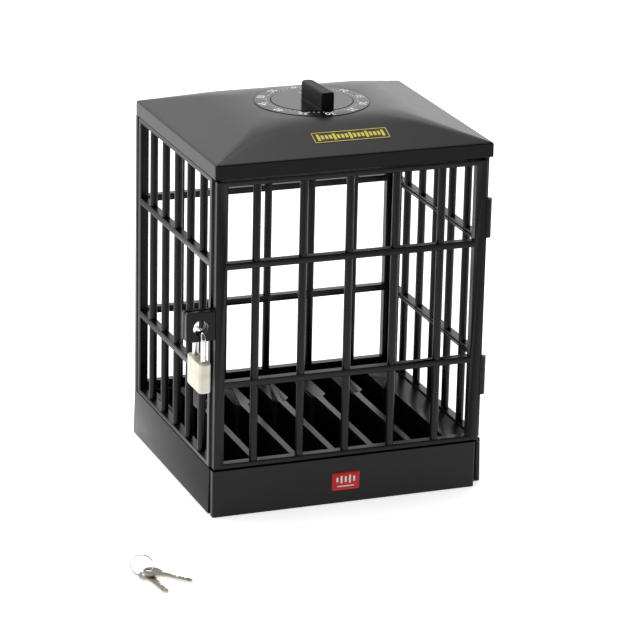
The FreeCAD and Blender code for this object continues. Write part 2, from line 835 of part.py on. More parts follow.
def skirt_badge():
    badge = box(("badge_left", "badge_right"), ("skirt_front - badge_wall", "skirt_front"),
                ("badge_low", "badge_high"))
    return node("skirt_badge", badge)


# ---------------------------------------------------------------- timer

def polar(reach, degrees):
    return Vector(reach * math.cos(math.radians(degrees)), reach * math.sin(math.radians(degrees)), 0)


def at(place):
    """A place measured from the dial's centre, as expressions in X and Y."""
    return "dial_x + (%.6f)" % place.x, "%.6f" % place.y


def ear_places():
    return [at(polar(size["ear_reach"], angle)) for angle in EAR_ANGLES]


def centre_distance(driving_teeth, driven_teeth):
    return size["gear_module"] * (driving_teeth + driven_teeth) / 2 + size["gear_centre_play"]


def movement_places():
    """Where each arbor stands, measured from the dial's centre."""
    first = centre_distance(size["main_teeth"], size["pinion_teeth"])
    following = centre_distance(size["second_teeth"], size["pinion_teeth"])
    reach = size["escape_reach"]
    opening = math.acos((first ** 2 + reach ** 2 - following ** 2) / (2 * first * reach))
    escape_angle = size["second_angle"] + math.degrees(opening)
    return {"second": polar(first, size["second_angle"]), "escape": polar(reach, escape_angle),
            "pallet": polar(size["pallet_reach"], escape_angle + size["pallet_angle"]),
            "hammer": Vector(size["hammer_x"], size["hammer_y"], 0)}


def pillar_places():
    return [at(polar(size["pillar_reach"], angle)) for angle in PILLAR_ANGLES]


def timer_case():
    cup = post("case_radius", "dial_x", 0, "case_low", "case_high")
    room = post("case_radius - case_wall", "dial_x", 0, "case_low + case_wall", "case_high + past")
    ears = [post("ear_radius", x, y, "case_high - ear_wall", "case_high") for x, y in ear_places()]
    holes = [post("screw_radius + running_play", x, y, "case_high - ear_wall - past", "case_high + past")
             for x, y in ear_places()]
    return node("timer_case", cut(joined(cup, *ears), room, *holes))


def timer_cover():
    disc = post("case_radius", "dial_x", 0, "case_high", "cover_high")
    ears = [post("ear_radius", x, y, "case_high", "cover_high") for x, y in ear_places()]
    low, high = "case_high - past", "cover_high + past"
    screw_holes = [post("screw_radius + running_play", x, y, low, high) for x, y in ear_places()]
    return node("timer_cover", cut(joined(disc, *ears), *screw_holes, *arbor_holes(low, high)))


def arbor_holes(low, high):
    holes = [post("arbor_radius + running_play", "dial_x", 0, low, high)]
    for place in movement_places().values():
        holes.append(post("pivot_radius + running_play", *at(place), low, high))
    return holes


def movement_plate():
    disc = post("plate_radius", "dial_x", 0, "plate_low", "plate_high")
    return node("movement_plate", cut(disc, *arbor_holes("plate_low - past", "plate_high + past")))


def timer_pillars():
    pillars = [post("pillar_radius", x, y, "plate_high", "case_high") for x, y in pillar_places()]
    return node("timer_pillars", group(*pillars))


def timer_screws():
    screws = []
    for x, y in ear_places():
        low = "case_high - ear_wall"
        head = post("screw_head_radius", x, y, "%s - screw_head_height" % low, low)
        screws.append(joined(head, post("screw_radius", x, y, low, "cover_high + timer_screw_depth")))
    return node("timer_screws", group(*screws))


def involute(angle):
    return math.tan(angle) - angle


def gear_face(teeth, phase):
    """A gear's outline with involute flanks and one tooth centred on the phase angle, in radians."""
    module = size["gear_module"]
    pitch = module * teeth / 2
    base = pitch * math.cos(PRESSURE_ANGLE)
    tip, root = pitch + size["gear_addendum"] * module, pitch - size["gear_dedendum"] * module
    half = math.pi / (2 * teeth) - size["gear_play"] / (2 * pitch) + involute(PRESSURE_ANGLE)
    start = max(base, root)
    radii = [start + (tip - start) * step / FLANK_STEPS for step in range(FLANK_STEPS + 1)]
    flank = [(radius, half - involute(math.acos(base / radius))) for radius in radii]
    flank.insert(0, (root, flank[0][1]))
    points = []
    for tooth in range(int(teeth)):
        middle = phase + 2 * math.pi * tooth / teeth
        points += [(radius, middle - spread) for radius, spread in flank]
        points += [(radius, middle + spread) for radius, spread in reversed(flank)]
    return polygon([Vector(r * math.cos(a), r * math.sin(a), 0) for r, a in points])


def polygon(points):
    return Part.Face(Part.makePolygon(points + points[:1]))


def bearing(start, end):
    """The direction from one place to another, in radians."""
    return math.atan2(end.y - start.y, end.x - start.x)


def wheel(teeth, phase, bore):
    disc = gear_face(teeth, phase).extrude(Vector(0, 0, size["gear_wall"]))
    return disc.cut(Part.makeCylinder(bore, size["gear_wall"]))


def main_wheel():
    phase = bearing(Vector(), movement_places()["second"])
    shape = wheel(size["main_teeth"], phase, size["arbor_radius"])
    return node("main_wheel", drawn(shape, "dial_x", 0, "main_wheel_low"))


def second_wheel():
    places = movement_places()
    phase = bearing(places["second"], places["escape"])
    shape = wheel(size["second_teeth"], phase, size["pivot_radius"])
    return node("second_wheel", drawn(shape, *at(places["second"]), "second_wheel_low"))


def pivot_arbor():
    """A thin arbor that stands on the movement plate and ends just inside the cover."""
    height = size["cover_high"] - size["plate_low"] - size["pivot_end_play"]
    return Part.makeCylinder(size["pivot_radius"], height)


def above_plate(height):
    return Vector(0, 0, height - size["plate_low"])


def pinion(name, place, driver, wheel_low):
    """A pinion cut on its arbor, with a gap facing the wheel that drives it."""
    half_tooth = math.pi / size["pinion_teeth"]
    leaves = gear_face(size["pinion_teeth"], bearing(place, driver) + half_tooth)
    toothed = leaves.extrude(Vector(0, 0, size["gear_wall"] + 2 * size["pinion_overlap"]))
    toothed.translate(above_plate(wheel_low - size["pinion_overlap"]))
    return node(name, drawn(pivot_arbor().fuse(toothed).removeSplitter(), *at(place), "plate_low"))


def main_arbor():
    return node("main_arbor", post("arbor_radius", "dial_x", 0, "plate_low - arbor_end",
                                   "disc_high + arbor_rise"))


def alarm_cam():
    """A disc with a lobe that faces the hammer's nose when the timer is at zero."""
    lobe_half, ramp = size["cam_lobe_half_angle"], size["cam_ramp_angle"]
    points = []
    for angle in range(0, 360, CAM_STEP_ANGLE):
        offset = abs((angle - size["nose_angle"] + 180) % 360 - 180)
        share = min(max((lobe_half + ramp - offset) / ramp, 0), 1)
        points.append(polar(size["cam_radius"] + (size["cam_lobe"] - size["cam_radius"]) * share, angle))
    height = size["cam_high"] - size["cam_low"]
    bore = Part.makeCylinder(size["arbor_radius"], height)
    shape = polygon(points).extrude(Vector(0, 0, height)).cut(bore)
    return node("alarm_cam", drawn(shape, "dial_x", 0, "cam_low"))


def escape_wheel():
    """A wheel with raked teeth: steep on one side, sloping on the other."""
    count = int(size["escape_teeth"])
    step = 360 / count
    points = []
    for tooth in range(count):
        points.append(polar(size["escape_radius"], tooth * step))
        points.append(polar(size["escape_root"], (tooth + size["escape_rake"]) * step))
    height = size["escape_high"] - size["escape_low"]
    bore = Part.makeCylinder(size["pivot_radius"], height)
    shape = polygon(points).extrude(Vector(0, 0, height)).cut(bore)
    return node("escape_wheel", drawn(shape, *at(movement_places()["escape"]), "escape_low"))


def flat_bar(start, end, half_width, height):
    """A level bar with round ends between two places."""
    along = (end - start).normalize()
    aside = Vector(-along.y, along.x, 0) * half_width
    bar = polygon([start + aside, end + aside, end - aside, start - aside]).extrude(Vector(0, 0, height))
    ends = [Part.makeCylinder(half_width, height, place) for place in (start, end)]
    return bar.multiFuse(ends)


def pallet_lever():
    places = movement_places()
    pivot, wheel_centre = places["pallet"], places["escape"]
    height = size["escape_high"] - size["escape_low"]
    facing = math.degrees(bearing(wheel_centre, pivot))
    lever = Part.makeCylinder(size["pallet_hub"], height)
    for spread in (-size["pallet_spread"], size["pallet_spread"]):
        pad = wheel_centre - pivot + polar(size["escape_radius"] + size["pallet_gap"], facing + spread)
        lever = lever.fuse(flat_bar(Vector(), pad, size["lever_half"], height))
    lever.translate(above_plate(size["escape_low"]))
    return node("pallet_lever", drawn(pivot_arbor().fuse(lever).removeSplitter(), *at(pivot), "plate_low"))


def bell_hammer():
    """A lever on its own pivot: the nose follows the cam and the head strikes the bell."""
    pivot = movement_places()["hammer"]
    nose = polar(size["cam_lobe"] + size["nose_gap"], size["nose_angle"]) - pivot
    head = Vector(size["bell_radius"] + size["hammer_gap"], size["bell_y"], 0) - pivot
    height = size["cam_high"] - size["cam_low"]
    lever = Part.makeCylinder(size["hammer_hub"], height)
    for end in (nose, head):
        lever = lever.fuse(flat_bar(Vector(), end, size["lever_half"], height))
    lever = lever.fuse(Part.makeCylinder(size["hammer_head_radius"], size["hammer_head_height"], head))
    lever.translate(above_plate(size["cam_low"]))
    return node("bell_hammer", drawn(pivot_arbor().fuse(lever).removeSplitter(), *at(pivot), "plate_low"))


def mainspring():
    """A flat strip wound in a spiral round the arbor, from its hub out to a free end."""
    turns, wall = size["spring_turns"], size["spring_wall"]
    steps = int(turns * 360 / SPRING_STEP_ANGLE)
    growth = (size["spring_end"] - size["spring_start"]) / steps

    def spiral(offset):
        return [polar(size["spring_start"] + offset + growth * step, SPRING_STEP_ANGLE * step)
                for step in range(steps + 1)]
    inside, outside = Part.BSplineCurve(), Part.BSplineCurve()
    inside.interpolate(spiral(0))
    outside.interpolate(spiral(wall))
    ends = [Part.LineSegment(inside.StartPoint, outside.StartPoint),
            Part.LineSegment(inside.EndPoint, outside.EndPoint)]
    wire = Part.Wire(Part.__sortEdges__([curve.toShape() for curve in (inside, outside, *ends)]))
    strip = Part.Face(wire).extrude(Vector(0, 0, size["spring_high"] - size["spring_low"]))
    return node("mainspring", drawn(strip, "dial_x", 0, "spring_low"))


def bell():
    outer = post("bell_radius", "dial_x", "bell_y", "bell_low", "bell_high")
    inner = post("bell_radius - bell_wall", "dial_x", "bell_y", "bell_low - past", "bell_high - bell_wall")
    corner = size["bell_corner"]

    def top_edge(bounds):
        return bounds.ZLength < 0.01 and bounds.ZMin > size["bell_high"] - size["bell_wall"] - 0.1
    dome = cut(rounded(outer, corner, top_edge), rounded(inner, corner - size["bell_wall"], top_edge))
    stem = post("bell_stem_radius", "dial_x", "bell_y", "bell_high - bell_wall / 2", "case_high")
    return node("bell", joined(dome, stem))


def grip_outline():
    """The bar one turns: square in front, half round behind, and turned a little about the dial's centre."""
    half, front = size["grip_half"], size["grip_front"]
    bend = size["grip_back"] - half
    turn = Rotation(WAYS["Z"], size["grip_turn"])

    def spot(x, y):
        return turn.multVec(Vector(x, y, 0)) + Vector(size["dial_x"], 0, 0)
    corners = [spot(-half, bend), spot(-half, front), spot(half, front), spot(half, bend)]
    sides = [Part.LineSegment(a, b) for a, b in zip(corners, corners[1:])]
    return sides + [Part.Arc(corners[3], spot(0, bend + half), corners[0])]


def timer_knob():
    body = doc.addObject("PartDesign::Body", "Knob")
    middle = size["dial_x"]
    disc = sketched(body, "disc_low", [circle(middle, 0, size["disc_radius"])])
    padded(body, disc, "disc_high - disc_low")
    doc.recompute()
    padded(body, sketched(body, "disc_high", grip_outline()), "grip_top - disc_high")
    doc.recompute()
    bore = sketched(body, "disc_low", [circle(middle, 0, size["arbor_radius"])])
    pocketed(body, bore, "disc_high + arbor_rise - disc_low", upward=True)
    doc.recompute()

    def outer_edge(bounds):
        in_front = upright(bounds) and bounds.YMax < size["grip_front"] + 1
        return bounds.ZMax > size["grip_top"] - 0.1 and (bounds.ZLength < 0.01 or in_front)
    numbered = enumerate(body.Shape.Edges, start=1)
    edge_names = ["Edge%d" % number for number, edge in numbered if outer_edge(edge.BoundBox)]
    hard = body.Tip
    soft = sized(body.newObject("PartDesign::Fillet", "Soft"), Radius="grip_softness")
    soft.Base = (hard, edge_names)
    doc.recompute()
    return node("timer_knob", body)


# ---------------------------------------------------------------- padlock

def padlock_body():
    block = box(("lock_x - lock_half_x", "lock_x + lock_half_x"),
                ("lock_y - lock_half_y", "lock_y + lock_half_y"), ("lock_low", "lock_high"))
    corners = rounded(block, size["lock_corner"], upright)
    soft = rounded(corners, size["lock_softness"], lambda bounds: bounds.ZLength < 0.01)
    leg = "shackle_radius + shackle_play"
    toe = post(leg, "lock_x", "lock_y - shackle_reach", "toe_low - shackle_end_room", "lock_high + past")
    heel = post(leg, "lock_x", "lock_y + shackle_reach", "heel_low - shackle_end_room", "lock_high + past")
    plug_room = post("plug_radius + plug_play", "lock_x", "lock_y", "lock_low - past",
                     "plug_high + plug_end_room")
    tail_room = post("tail_radius + tail_room", "lock_x", "lock_y", "plug_high", "bolt_low")
    channel_half = "bolt_half + bolt_room"
    channel = box(("lock_x - (%s)" % channel_half, "lock_x + %s" % channel_half),
                  ("lock_y - shackle_reach", "lock_y + bolt_back + coil_length + 2 * coil_gap"),
                  ("bolt_low - bolt_room", "bolt_high + bolt_room"))
    return node("padlock_body", cut(soft, toe, heel, plug_room, tail_room, channel))


def padlock_shackle():
    reach, bend = size["shackle_reach"], size["shackle_bend"]
    crown, wire = size["shackle_crown"], size["shackle_radius"]
    toe_low, heel_low = size["toe_low"], size["heel_low"]
    corner, slant = crown - bend, bend * (1 - math.sqrt(0.5))
    profile = [(-reach, toe_low), (-reach, corner), (slant - reach, crown - slant), (bend - reach, crown),
               (reach - bend, crown), (reach - slant, crown - slant), (reach, corner), (reach, heel_low)]
    points = [Vector(0, y, z) for y, z in profile]
    path = Part.Wire([Part.makeLine(points[0], points[1]), Part.Arc(*points[1:4]).toShape(),
                      Part.makeLine(points[3], points[4]), Part.Arc(*points[4:7]).toShape(),
                      Part.makeLine(points[6], points[7])])
    section = Part.Wire(Part.makeCircle(wire, points[0], Vector(0, 0, 1)))
    bow = path.makePipeShell([section], True, False)
    notch = Part.makeBox(3 * wire, wire, size["notch_high"] - size["notch_low"],
                         Vector(-1.5 * wire, size["notch_face"] - reach, size["notch_low"]))
    return node("padlock_shackle", drawn(bow.cut(notch), "lock_x", "lock_y", 0))


def lock_plug():
    barrel = post("plug_radius", "lock_x", "lock_y", "lock_low", "plug_high")
    tail = post("tail_radius", "lock_x", "lock_y", "plug_high - past", "bolt_low - bolt_room - tail_end_gap")
    keyway = box(("lock_x - keyway_half", "lock_x + keyway_half"),
                 ("lock_y - keyway_reach", "lock_y + keyway_reach"),
                 ("lock_low - past", "plug_high - keyway_end"))
    return node("lock_plug", cut(joined(barrel, tail), keyway))


def locking_bolt():
    tip = "lock_y - shackle_reach + shackle_radius + bolt_tip_gap"
    bar = box(("lock_x - bolt_half", "lock_x + bolt_half"), (tip, "lock_y + bolt_back"),
              ("bolt_low", "bolt_high"))
    return node("locking_bolt", bar)


def bolt_spring():
    """A small coil behind the bolt."""
    wire, length = size["coil_wire"], size["coil_length"]
    middle = size["coil_radius"] - wire
    path = Part.makeHelix(length / size["coil_turns"], length, middle)
    section = Part.Wire(Part.makeCircle(wire, Vector(middle, 0, 0), Vector(0, 1, 0)))
    coil = drawn(Part.Wire(path).makePipeShell([section], True, True))
    turned(coil, Rotation(WAYS["X"], -90))
    start, height = "lock_y + bolt_back + coil_gap", "(bolt_low + bolt_high) / 2"
    return node("bolt_spring", placed(coil, "lock_x", start, height))


# ---------------------------------------------------------------- keys

KEY_CUTS = (0.4, 1.3, 0.7, 1.6, 0.9)
KEY_POSES = {
    # head x, head y, height of the head's underside, heading of the blade, droop of the tip
    "key_1": (-131.49, -132.05, 2.067, -35.98, 5.54),
    "key_2": (-134.45, -133.31, 0.834, -80.41, 2.2),
}
# middle x, y and z, then heading and tilt
RING_POSE = (-136.84, -130.48, 6.292, -23.66, 93.72)


def key_shape():
    """A key lying flat: the head round the origin, the blade along +X with its cuts on one side."""
    wall, head = size["key_wall"], size["key_head_radius"]
    half, length = size["key_blade_half"], size["key_length"]
    pitch = size["key_cut_pitch"]
    bow = Part.makeCylinder(head, wall)
    edge = [(0, -half), (length - size["key_tip_length"], -half), (length, size["key_tip_low"]),
            (length, size["key_tip_high"])]
    for step, depth in enumerate(KEY_CUTS):
        x = length - size["key_cut_start"] - step * pitch
        edge += [(x, half - depth), (x - size["key_cut_flat"], half - depth),
                 (x - pitch / 2 - size["key_cut_ridge"], half)]
    edge.append((0, half))
    blade = polygon([Vector(x, y, 0) for x, y in edge]).extrude(Vector(0, 0, wall))
    hole = Part.makeCylinder(size["key_hole_radius"], wall, Vector(-size["key_hole_offset"], 0, 0))
    return bow.fuse(blade).cut(hole).removeSplitter()


def loose_key(name):
    x, y, z, heading, droop = KEY_POSES[name]
    feature = doc.addObject("Part::Feature", "Key")
    feature.Shape = key_shape()
    rotation = Rotation(WAYS["Z"], heading).multiply(Rotation(WAYS["Y"], droop))
    feature.Placement = Placement(Vector(x, y, z), rotation)
    return node(name, feature)


def key_ring():
    x, y, z, heading, tilt = RING_POSE
    ring = sized(doc.addObject("Part::Torus", "Ring"), Radius1="ring_loop", Radius2="ring_wire")
    rotation = Rotation(WAYS["Z"], heading).multiply(Rotation(WAYS["X"], tilt))
    ring.Placement = Placement(Vector(x, y, z), rotation)
    return node("key_ring", ring)


# ---------------------------------------------------------------- assembly

def build():
    fill_sheet()
    base_tub()
    front_skirt()
    rubber_feet()
    base_screws()
    phone_tray()
    side_grille("left_grille", -1)
    side_grille("right_grille", 1)
    back_grille()
    door_grille()
    door_hinge_leaves()
    frame_hinge_leaves()
    hinge_pins()
    hasp_plate("hasp_tab", "door_front", "door_front + stile_skin", "door_left")
    hasp_plate("latch_staple", "staple_front", "-side_half_depth", "-side_outer")
    roof_lid()
    ceiling_plate()
    ceiling_screws()
    number_ring()
    roof_label_plate()
    skirt_badge()
    timer_case()
    timer_cover()
    movement_plate()
    timer_pillars()
    timer_screws()
    main_arbor()
    main_wheel()
    alarm_cam()
    places = movement_places()
    pinion("second_pinion", places["second"], Vector(), size["main_wheel_low"])
    second_wheel()
    pinion("escape_pinion", places["escape"], places["second"], size["second_wheel_low"])
    escape_wheel()
    pallet_lever()
    bell_hammer()
    mainspring()
    bell()
    timer_knob()
    padlock_body()
    padlock_shackle()
    lock_plug()
    locking_bolt()
    bolt_spring()
    loose_key("key_1")
    loose_key("key_2")
    key_ring()
    doc.recompute()


def check():
    for item in doc.Objects:
        if "Invalid" in item.State or "Error" in item.State:
            raise RuntimeError("%s failed to build" % item.Label)
    for piece in nodes:
        shape = piece.Shape
        if shape.isNull() or not shape.isValid():
            raise RuntimeError("%s has no valid shape" % piece.Label)


def write():
    os.makedirs("parts", exist_ok=True)
    for piece in nodes:
        piece.Shape.exportStep("parts/%s.step" % piece.Label)


build()
check()
write()
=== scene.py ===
"""Looks of the timed lock container: finishes, moulded detail, printed marks, floor and light.

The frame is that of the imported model: +X to the hinges, +Y to the back, +Z up. The scene is in metres.
Sizes and places on the object are named in mm and multiplied by MM. Those of the floor, the lamp and the
camera are in metres.
"""

import json
import math

import bmesh
import bpy
from mathutils import Matrix, Vector


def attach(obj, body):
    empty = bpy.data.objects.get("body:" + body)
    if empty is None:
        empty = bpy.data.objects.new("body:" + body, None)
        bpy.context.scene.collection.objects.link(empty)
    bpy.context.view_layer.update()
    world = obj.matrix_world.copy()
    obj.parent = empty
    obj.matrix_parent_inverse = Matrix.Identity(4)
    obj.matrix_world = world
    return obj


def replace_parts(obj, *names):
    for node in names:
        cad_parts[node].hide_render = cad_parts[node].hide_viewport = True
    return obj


MM = 0.001

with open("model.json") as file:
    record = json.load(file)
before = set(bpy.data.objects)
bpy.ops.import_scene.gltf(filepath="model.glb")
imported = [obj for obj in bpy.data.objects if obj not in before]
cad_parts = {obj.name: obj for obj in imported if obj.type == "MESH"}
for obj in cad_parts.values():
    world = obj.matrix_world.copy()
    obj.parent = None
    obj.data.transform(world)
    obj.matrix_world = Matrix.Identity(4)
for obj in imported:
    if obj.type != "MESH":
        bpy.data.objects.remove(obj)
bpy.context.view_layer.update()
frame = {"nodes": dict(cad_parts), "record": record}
nodes = frame["nodes"]


# ---------------------------------------------------------------- node helpers

def finish_named(name):
    """A new finish: its material, its node tree and its shader."""
    material = bpy.data.materials.new(name)
    material.use_nodes = True
    tree = material.node_tree
    return material, tree, tree.nodes["Principled BSDF"]


def add(tree, kind, **inputs):
    """Adds a node and fills its inputs by name."""
    node = tree.nodes.new(kind)
    for name, value in inputs.items():
        feed(tree, node.inputs[name.replace("_", " ")], value)
    return node


def feed(tree, socket, value):
    """Fills a socket: the output of another node is linked to it, anything else is set."""
    if isinstance(value, bpy.types.NodeSocket):
        tree.links.new(value, socket)
    else:
        socket.default_value = value


def worked_out(tree, operation, first, second):
    """The result of an operation on two numbers, such as MULTIPLY."""
    node = tree.nodes.new("ShaderNodeMath")
    node.operation = operation
    feed(tree, node.inputs[0], first)
    feed(tree, node.inputs[1], second)
    return node.outputs["Value"]


def place_on_object(tree, stretch=(1, 1, 1)):
    """The point on the object, in metres, stretched for patterns that run one way."""
    coordinates = add(tree, "ShaderNodeTexCoord")
    mapping = add(tree, "ShaderNodeMapping", Vector=coordinates.outputs["Object"])
    mapping.inputs["Scale"].default_value = stretch
    return mapping.outputs["Vector"]


def height_on_object(tree):
    """How high the point on the object is, in metres."""
    return add(tree, "ShaderNodeSeparateXYZ", Vector=place_on_object(tree)).outputs["Z"]


def clouds(tree, where, scale, detail=2.0, rough=0.5):
    """Soft noise from 0 to 1, with a scale in clouds to the metre."""
    noise = add(tree, "ShaderNodeTexNoise", Vector=where, Scale=scale, Detail=detail, Roughness=rough)
    return noise.outputs["Fac"]


def between(tree, share, low, high, start=0.3, end=0.7):
    """A number that runs from low to high as share goes from start to end."""
    spread = add(tree, "ShaderNodeMapRange", Value=share)
    spread.inputs["From Min"].default_value = start
    spread.inputs["From Max"].default_value = end
    spread.inputs["To Min"].default_value = low
    spread.inputs["To Max"].default_value = high
    return spread.outputs["Result"]


def blended(tree, share, first, second):
    """A colour that runs from the first to the second as share goes from 0 to 1."""
    mix = tree.nodes.new("ShaderNodeMix")
    mix.data_type = "RGBA"
    feed(tree, mix.inputs[0], share)
    feed(tree, mix.inputs[6], first)
    feed(tree, mix.inputs[7], second)
    return mix.outputs[2]


def bumped(tree, height, distance):
    """A normal for a fine relief of the given depth, in metres."""
    return add(tree, "ShaderNodeBump", Height=height, Distance=distance, Strength=1.0).outputs["Normal"]


# ---------------------------------------------------------------- finishes

# Clouds, patches and streaks are counted to the metre. Grains and reliefs are depths in metres. A shine is a
# roughness, and a gloss is how strongly a surface that isn't metal reflects.
TONE_CLOUDS = 26.0
TONE_LIFT = 1.5
SHINE_CLOUDS = 90.0
SHINE_DRIFT = 0.05
GRAIN_CLOUDS = 2600.0
COARSE_GRAIN = 0.00001
SHELL_GRAIN = 0.000003
FINE_GRAIN = 0.000002
PLASTIC_GLOSS = 0.25
DEEP_BLACK = (0.0040, 0.0038, 0.0040)


def moulded_plastic(name, colour, shine, grain=COARSE_GRAIN, gloss=PLASTIC_GLOSS):
    """Moulded plastic: faint clouds in colour and shine, and the fine grain of the mould."""
    material, tree, shader = finish_named(name)
    where = place_on_object(tree)
    drift = clouds(tree, where, TONE_CLOUDS, 3.0)
    lighter = tuple(channel * TONE_LIFT for channel in colour)
    feed(tree, shader.inputs["Base Color"],
         blended(tree, between(tree, drift, 0, 1), (*colour, 1), (*lighter, 1)))
    flow = clouds(tree, where, SHINE_CLOUDS, 4.0, 0.6)
    feed(tree, shader.inputs["Roughness"],
         between(tree, flow, shine * (1 - SHINE_DRIFT), shine * (1 + SHINE_DRIFT)))
    texture = clouds(tree, where, GRAIN_CLOUDS, 2.0)
    feed(tree, shader.inputs["Normal"], bumped(tree, texture, grain))
    shader.inputs["Specular IOR Level"].default_value = gloss
    return material


TRAY_TOP = 27.5
TRAY_SHINE = 0.26
# Painted shade: below the tops of the dividers the tray reflects less, so the slots look shaded.
PAINTED_SHADE_SLOT_GLOSS = 0.02
SLOT_STARTS = 0.3
SLOT_IS_DEEP = 0.9


def tray_plastic():
    """The tray's plastic: smooth on the tops of its dividers, with painted shade down in the slots, where it
    reflects less.
    """
    material = moulded_plastic("tray_plastic", DEEP_BLACK, TRAY_SHINE, grain=FINE_GRAIN)
    tree = material.node_tree
    shader = tree.nodes["Principled BSDF"]
    # Painted shade: the gloss falls from the tops down into the slots.
    feed(tree, shader.inputs["Specular IOR Level"],
         between(tree, height_on_object(tree), PAINTED_SHADE_SLOT_GLOSS, PLASTIC_GLOSS,
                 (TRAY_TOP - SLOT_IS_DEEP) * MM, (TRAY_TOP - SLOT_STARTS) * MM))
    return material


DISC_TOP = 205.4
DISC_SHINE = 0.16
KNOB_SHINE = 0.46
KNOB_GLOSS = 0.15
KNOB_FOOT = 1.2
WEAR_CLOUDS = 160.0
WEAR = 0.06


def dial_plastic():
    """The dial's plastic: glossy on the disc and the ring, satin on the bar one turns."""
    material = moulded_plastic("dial_plastic", DEEP_BLACK, DISC_SHINE, grain=FINE_GRAIN)
    tree = material.node_tree
    shader = tree.nodes["Principled BSDF"]
    height = height_on_object(tree)
    foot = (DISC_TOP * MM, (DISC_TOP + KNOB_FOOT) * MM)
    satin = between(tree, height, DISC_SHINE, KNOB_SHINE, *foot)
    wear = clouds(tree, place_on_object(tree), WEAR_CLOUDS, 3.0)
    feed(tree, shader.inputs["Roughness"],
         worked_out(tree, "MULTIPLY", satin, between(tree, wear, 1 - WEAR, 1 + WEAR)))
    feed(tree, shader.inputs["Specular IOR Level"], between(tree, height, PLASTIC_GLOSS, KNOB_GLOSS, *foot))
    return material


STREAKS = 900.0
STREAK_RELIEF = 0.000004
STAIN_CLOUDS = 140.0
STAINED = (0.8, 0.79, 0.76)


def drawn_metal(name, colour, shine, stretch, streak=0.14, metal=1.0):
    """Plated or drawn metal: fine streaks along one way and slight unevenness of tone."""
    material, tree, shader = finish_named(name)
    streaks = clouds(tree, place_on_object(tree, stretch), STREAKS, 3.0, 0.65)
    stain = clouds(tree, place_on_object(tree), STAIN_CLOUDS, 3.0)
    darker = tuple(channel * share for channel, share in zip(colour, STAINED))
    feed(tree, shader.inputs["Base Color"],
         blended(tree, between(tree, stain, 0, 1), (*darker, 1), (*colour, 1)))
    feed(tree, shader.inputs["Roughness"], between(tree, streaks, shine, shine + streak))
    feed(tree, shader.inputs["Normal"], bumped(tree, streaks, STREAK_RELIEF))
    shader.inputs["Metallic"].default_value = metal
    return material


DUST_CLOUDS = 320.0
DUST_RELIEF = 0.00003
CLEAN_RUBBER = (0.02, 0.02, 0.021)
DUSTY_RUBBER = (0.045, 0.044, 0.042)
RUBBER_SHINES = (0.7, 0.9)


def soft_rubber():
    """The rubber of the feet: dull and a little dusty."""
    material, tree, shader = finish_named("foot_rubber")
    dust = clouds(tree, place_on_object(tree), DUST_CLOUDS, 4.0, 0.7)
    feed(tree, shader.inputs["Base Color"],
         blended(tree, between(tree, dust, 0, 1), (*CLEAN_RUBBER, 1), (*DUSTY_RUBBER, 1)))
    feed(tree, shader.inputs["Roughness"], between(tree, dust, *RUBBER_SHINES))
    feed(tree, shader.inputs["Normal"], bumped(tree, dust, DUST_RELIEF))
    return material


INK_PATCHES = 700.0
THIN_INK = 0.86
INK_SHINE_SPREAD = 0.1


def ink(name, colour, shine):
    """Printed ink: a little uneven in tone."""
    material, tree, shader = finish_named(name)
    patches = clouds(tree, place_on_object(tree), INK_PATCHES, 3.0)
    thinner = tuple(channel * THIN_INK for channel in colour)
    feed(tree, shader.inputs["Base Color"],
         blended(tree, between(tree, patches, 0, 1), (*thinner, 1), (*colour, 1)))
    feed(tree, shader.inputs["Roughness"], between(tree, patches, shine, shine + INK_SHINE_SPREAD))
    return material


FINISHES = {
    "black_shell": moulded_plastic("black_shell", (0.0042, 0.0040, 0.0042), 0.30, grain=SHELL_GRAIN),
    "tray_plastic": tray_plastic(),
    "dial_plastic": dial_plastic(),
    "foot_rubber": soft_rubber(),
    "label_film": moulded_plastic("label_film", (0.012, 0.011, 0.008), 0.36),
    "red_badge": moulded_plastic("red_badge", (0.46, 0.009, 0.010), 0.40, grain=FINE_GRAIN, gloss=0.3),
    "hinge_metal": moulded_plastic("hinge_metal", (0.0045, 0.0045, 0.0045), 0.30),
    "steel": drawn_metal("steel", (0.56, 0.56, 0.57), 0.28, (1, 1, 0.1)),
    "brass": drawn_metal("brass", (0.74, 0.56, 0.26), 0.26, (1, 0.1, 1)),
    "lock_case": drawn_metal("lock_case", (0.86, 0.83, 0.715), 0.42, (1, 1, 0.12), metal=0.45),
    "shackle_steel": drawn_metal("shackle_steel", (0.82, 0.82, 0.80), 0.10, (1, 1, 0.1), streak=0.06),
    "key_nickel": drawn_metal("key_nickel", (0.60, 0.57, 0.50), 0.24, (1, 0.2, 1)),
}

INKS = {
    "white": ink("white_ink", (0.86, 0.86, 0.85), 0.4),
    "yellow": ink("yellow_ink", (0.86, 0.68, 0.008), 0.4),
    "black": ink("black_ink", (0.004, 0.004, 0.004), 0.8),
}

SLOTS = {part["node"]: part["material_slot"] for part in frame["record"]["subparts"]}


def dress_nodes():
    """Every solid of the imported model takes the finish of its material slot."""
    for name, slot in SLOTS.items():
        materials = nodes[name].data.materials
        materials.clear()
        materials.append(FINISHES[slot])


# ---------------------------------------------------------------- meshes

# The two angles are in degrees, and SAME_POINT is in metres.
SHARP_FROM = 35.0
SHARP_FROM_ON_SOFT_FORMS = 50.0
SAME_POINT = 0.0000005


def put_in_scene(name, data):
    """A new object for a mesh, a curve, a lamp or a camera."""
    thing = bpy.data.objects.new(name, data)
    bpy.context.scene.collection.objects.link(thing)
    return thing


def new_piece(name, mesh, finish, body, sharp_from=SHARP_FROM):
    """A finished mesh as a piece that rides on a body, shaded smooth where its edges are blunt."""
    mesh.name = name
    mesh.materials.clear()
    mesh.materials.append(finish)
    mesh.shade_smooth()
    mesh.set_sharp_from_angle(angle=math.radians(sharp_from))
    piece = put_in_scene(name, mesh)
    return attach(piece, body)


def mesh_of(shape, name):
    """The mesh of a shape that was worked on, which is then let go."""
    mesh = bpy.data.meshes.new(name)
    shape.to_mesh(mesh)
    shape.free()
    return mesh


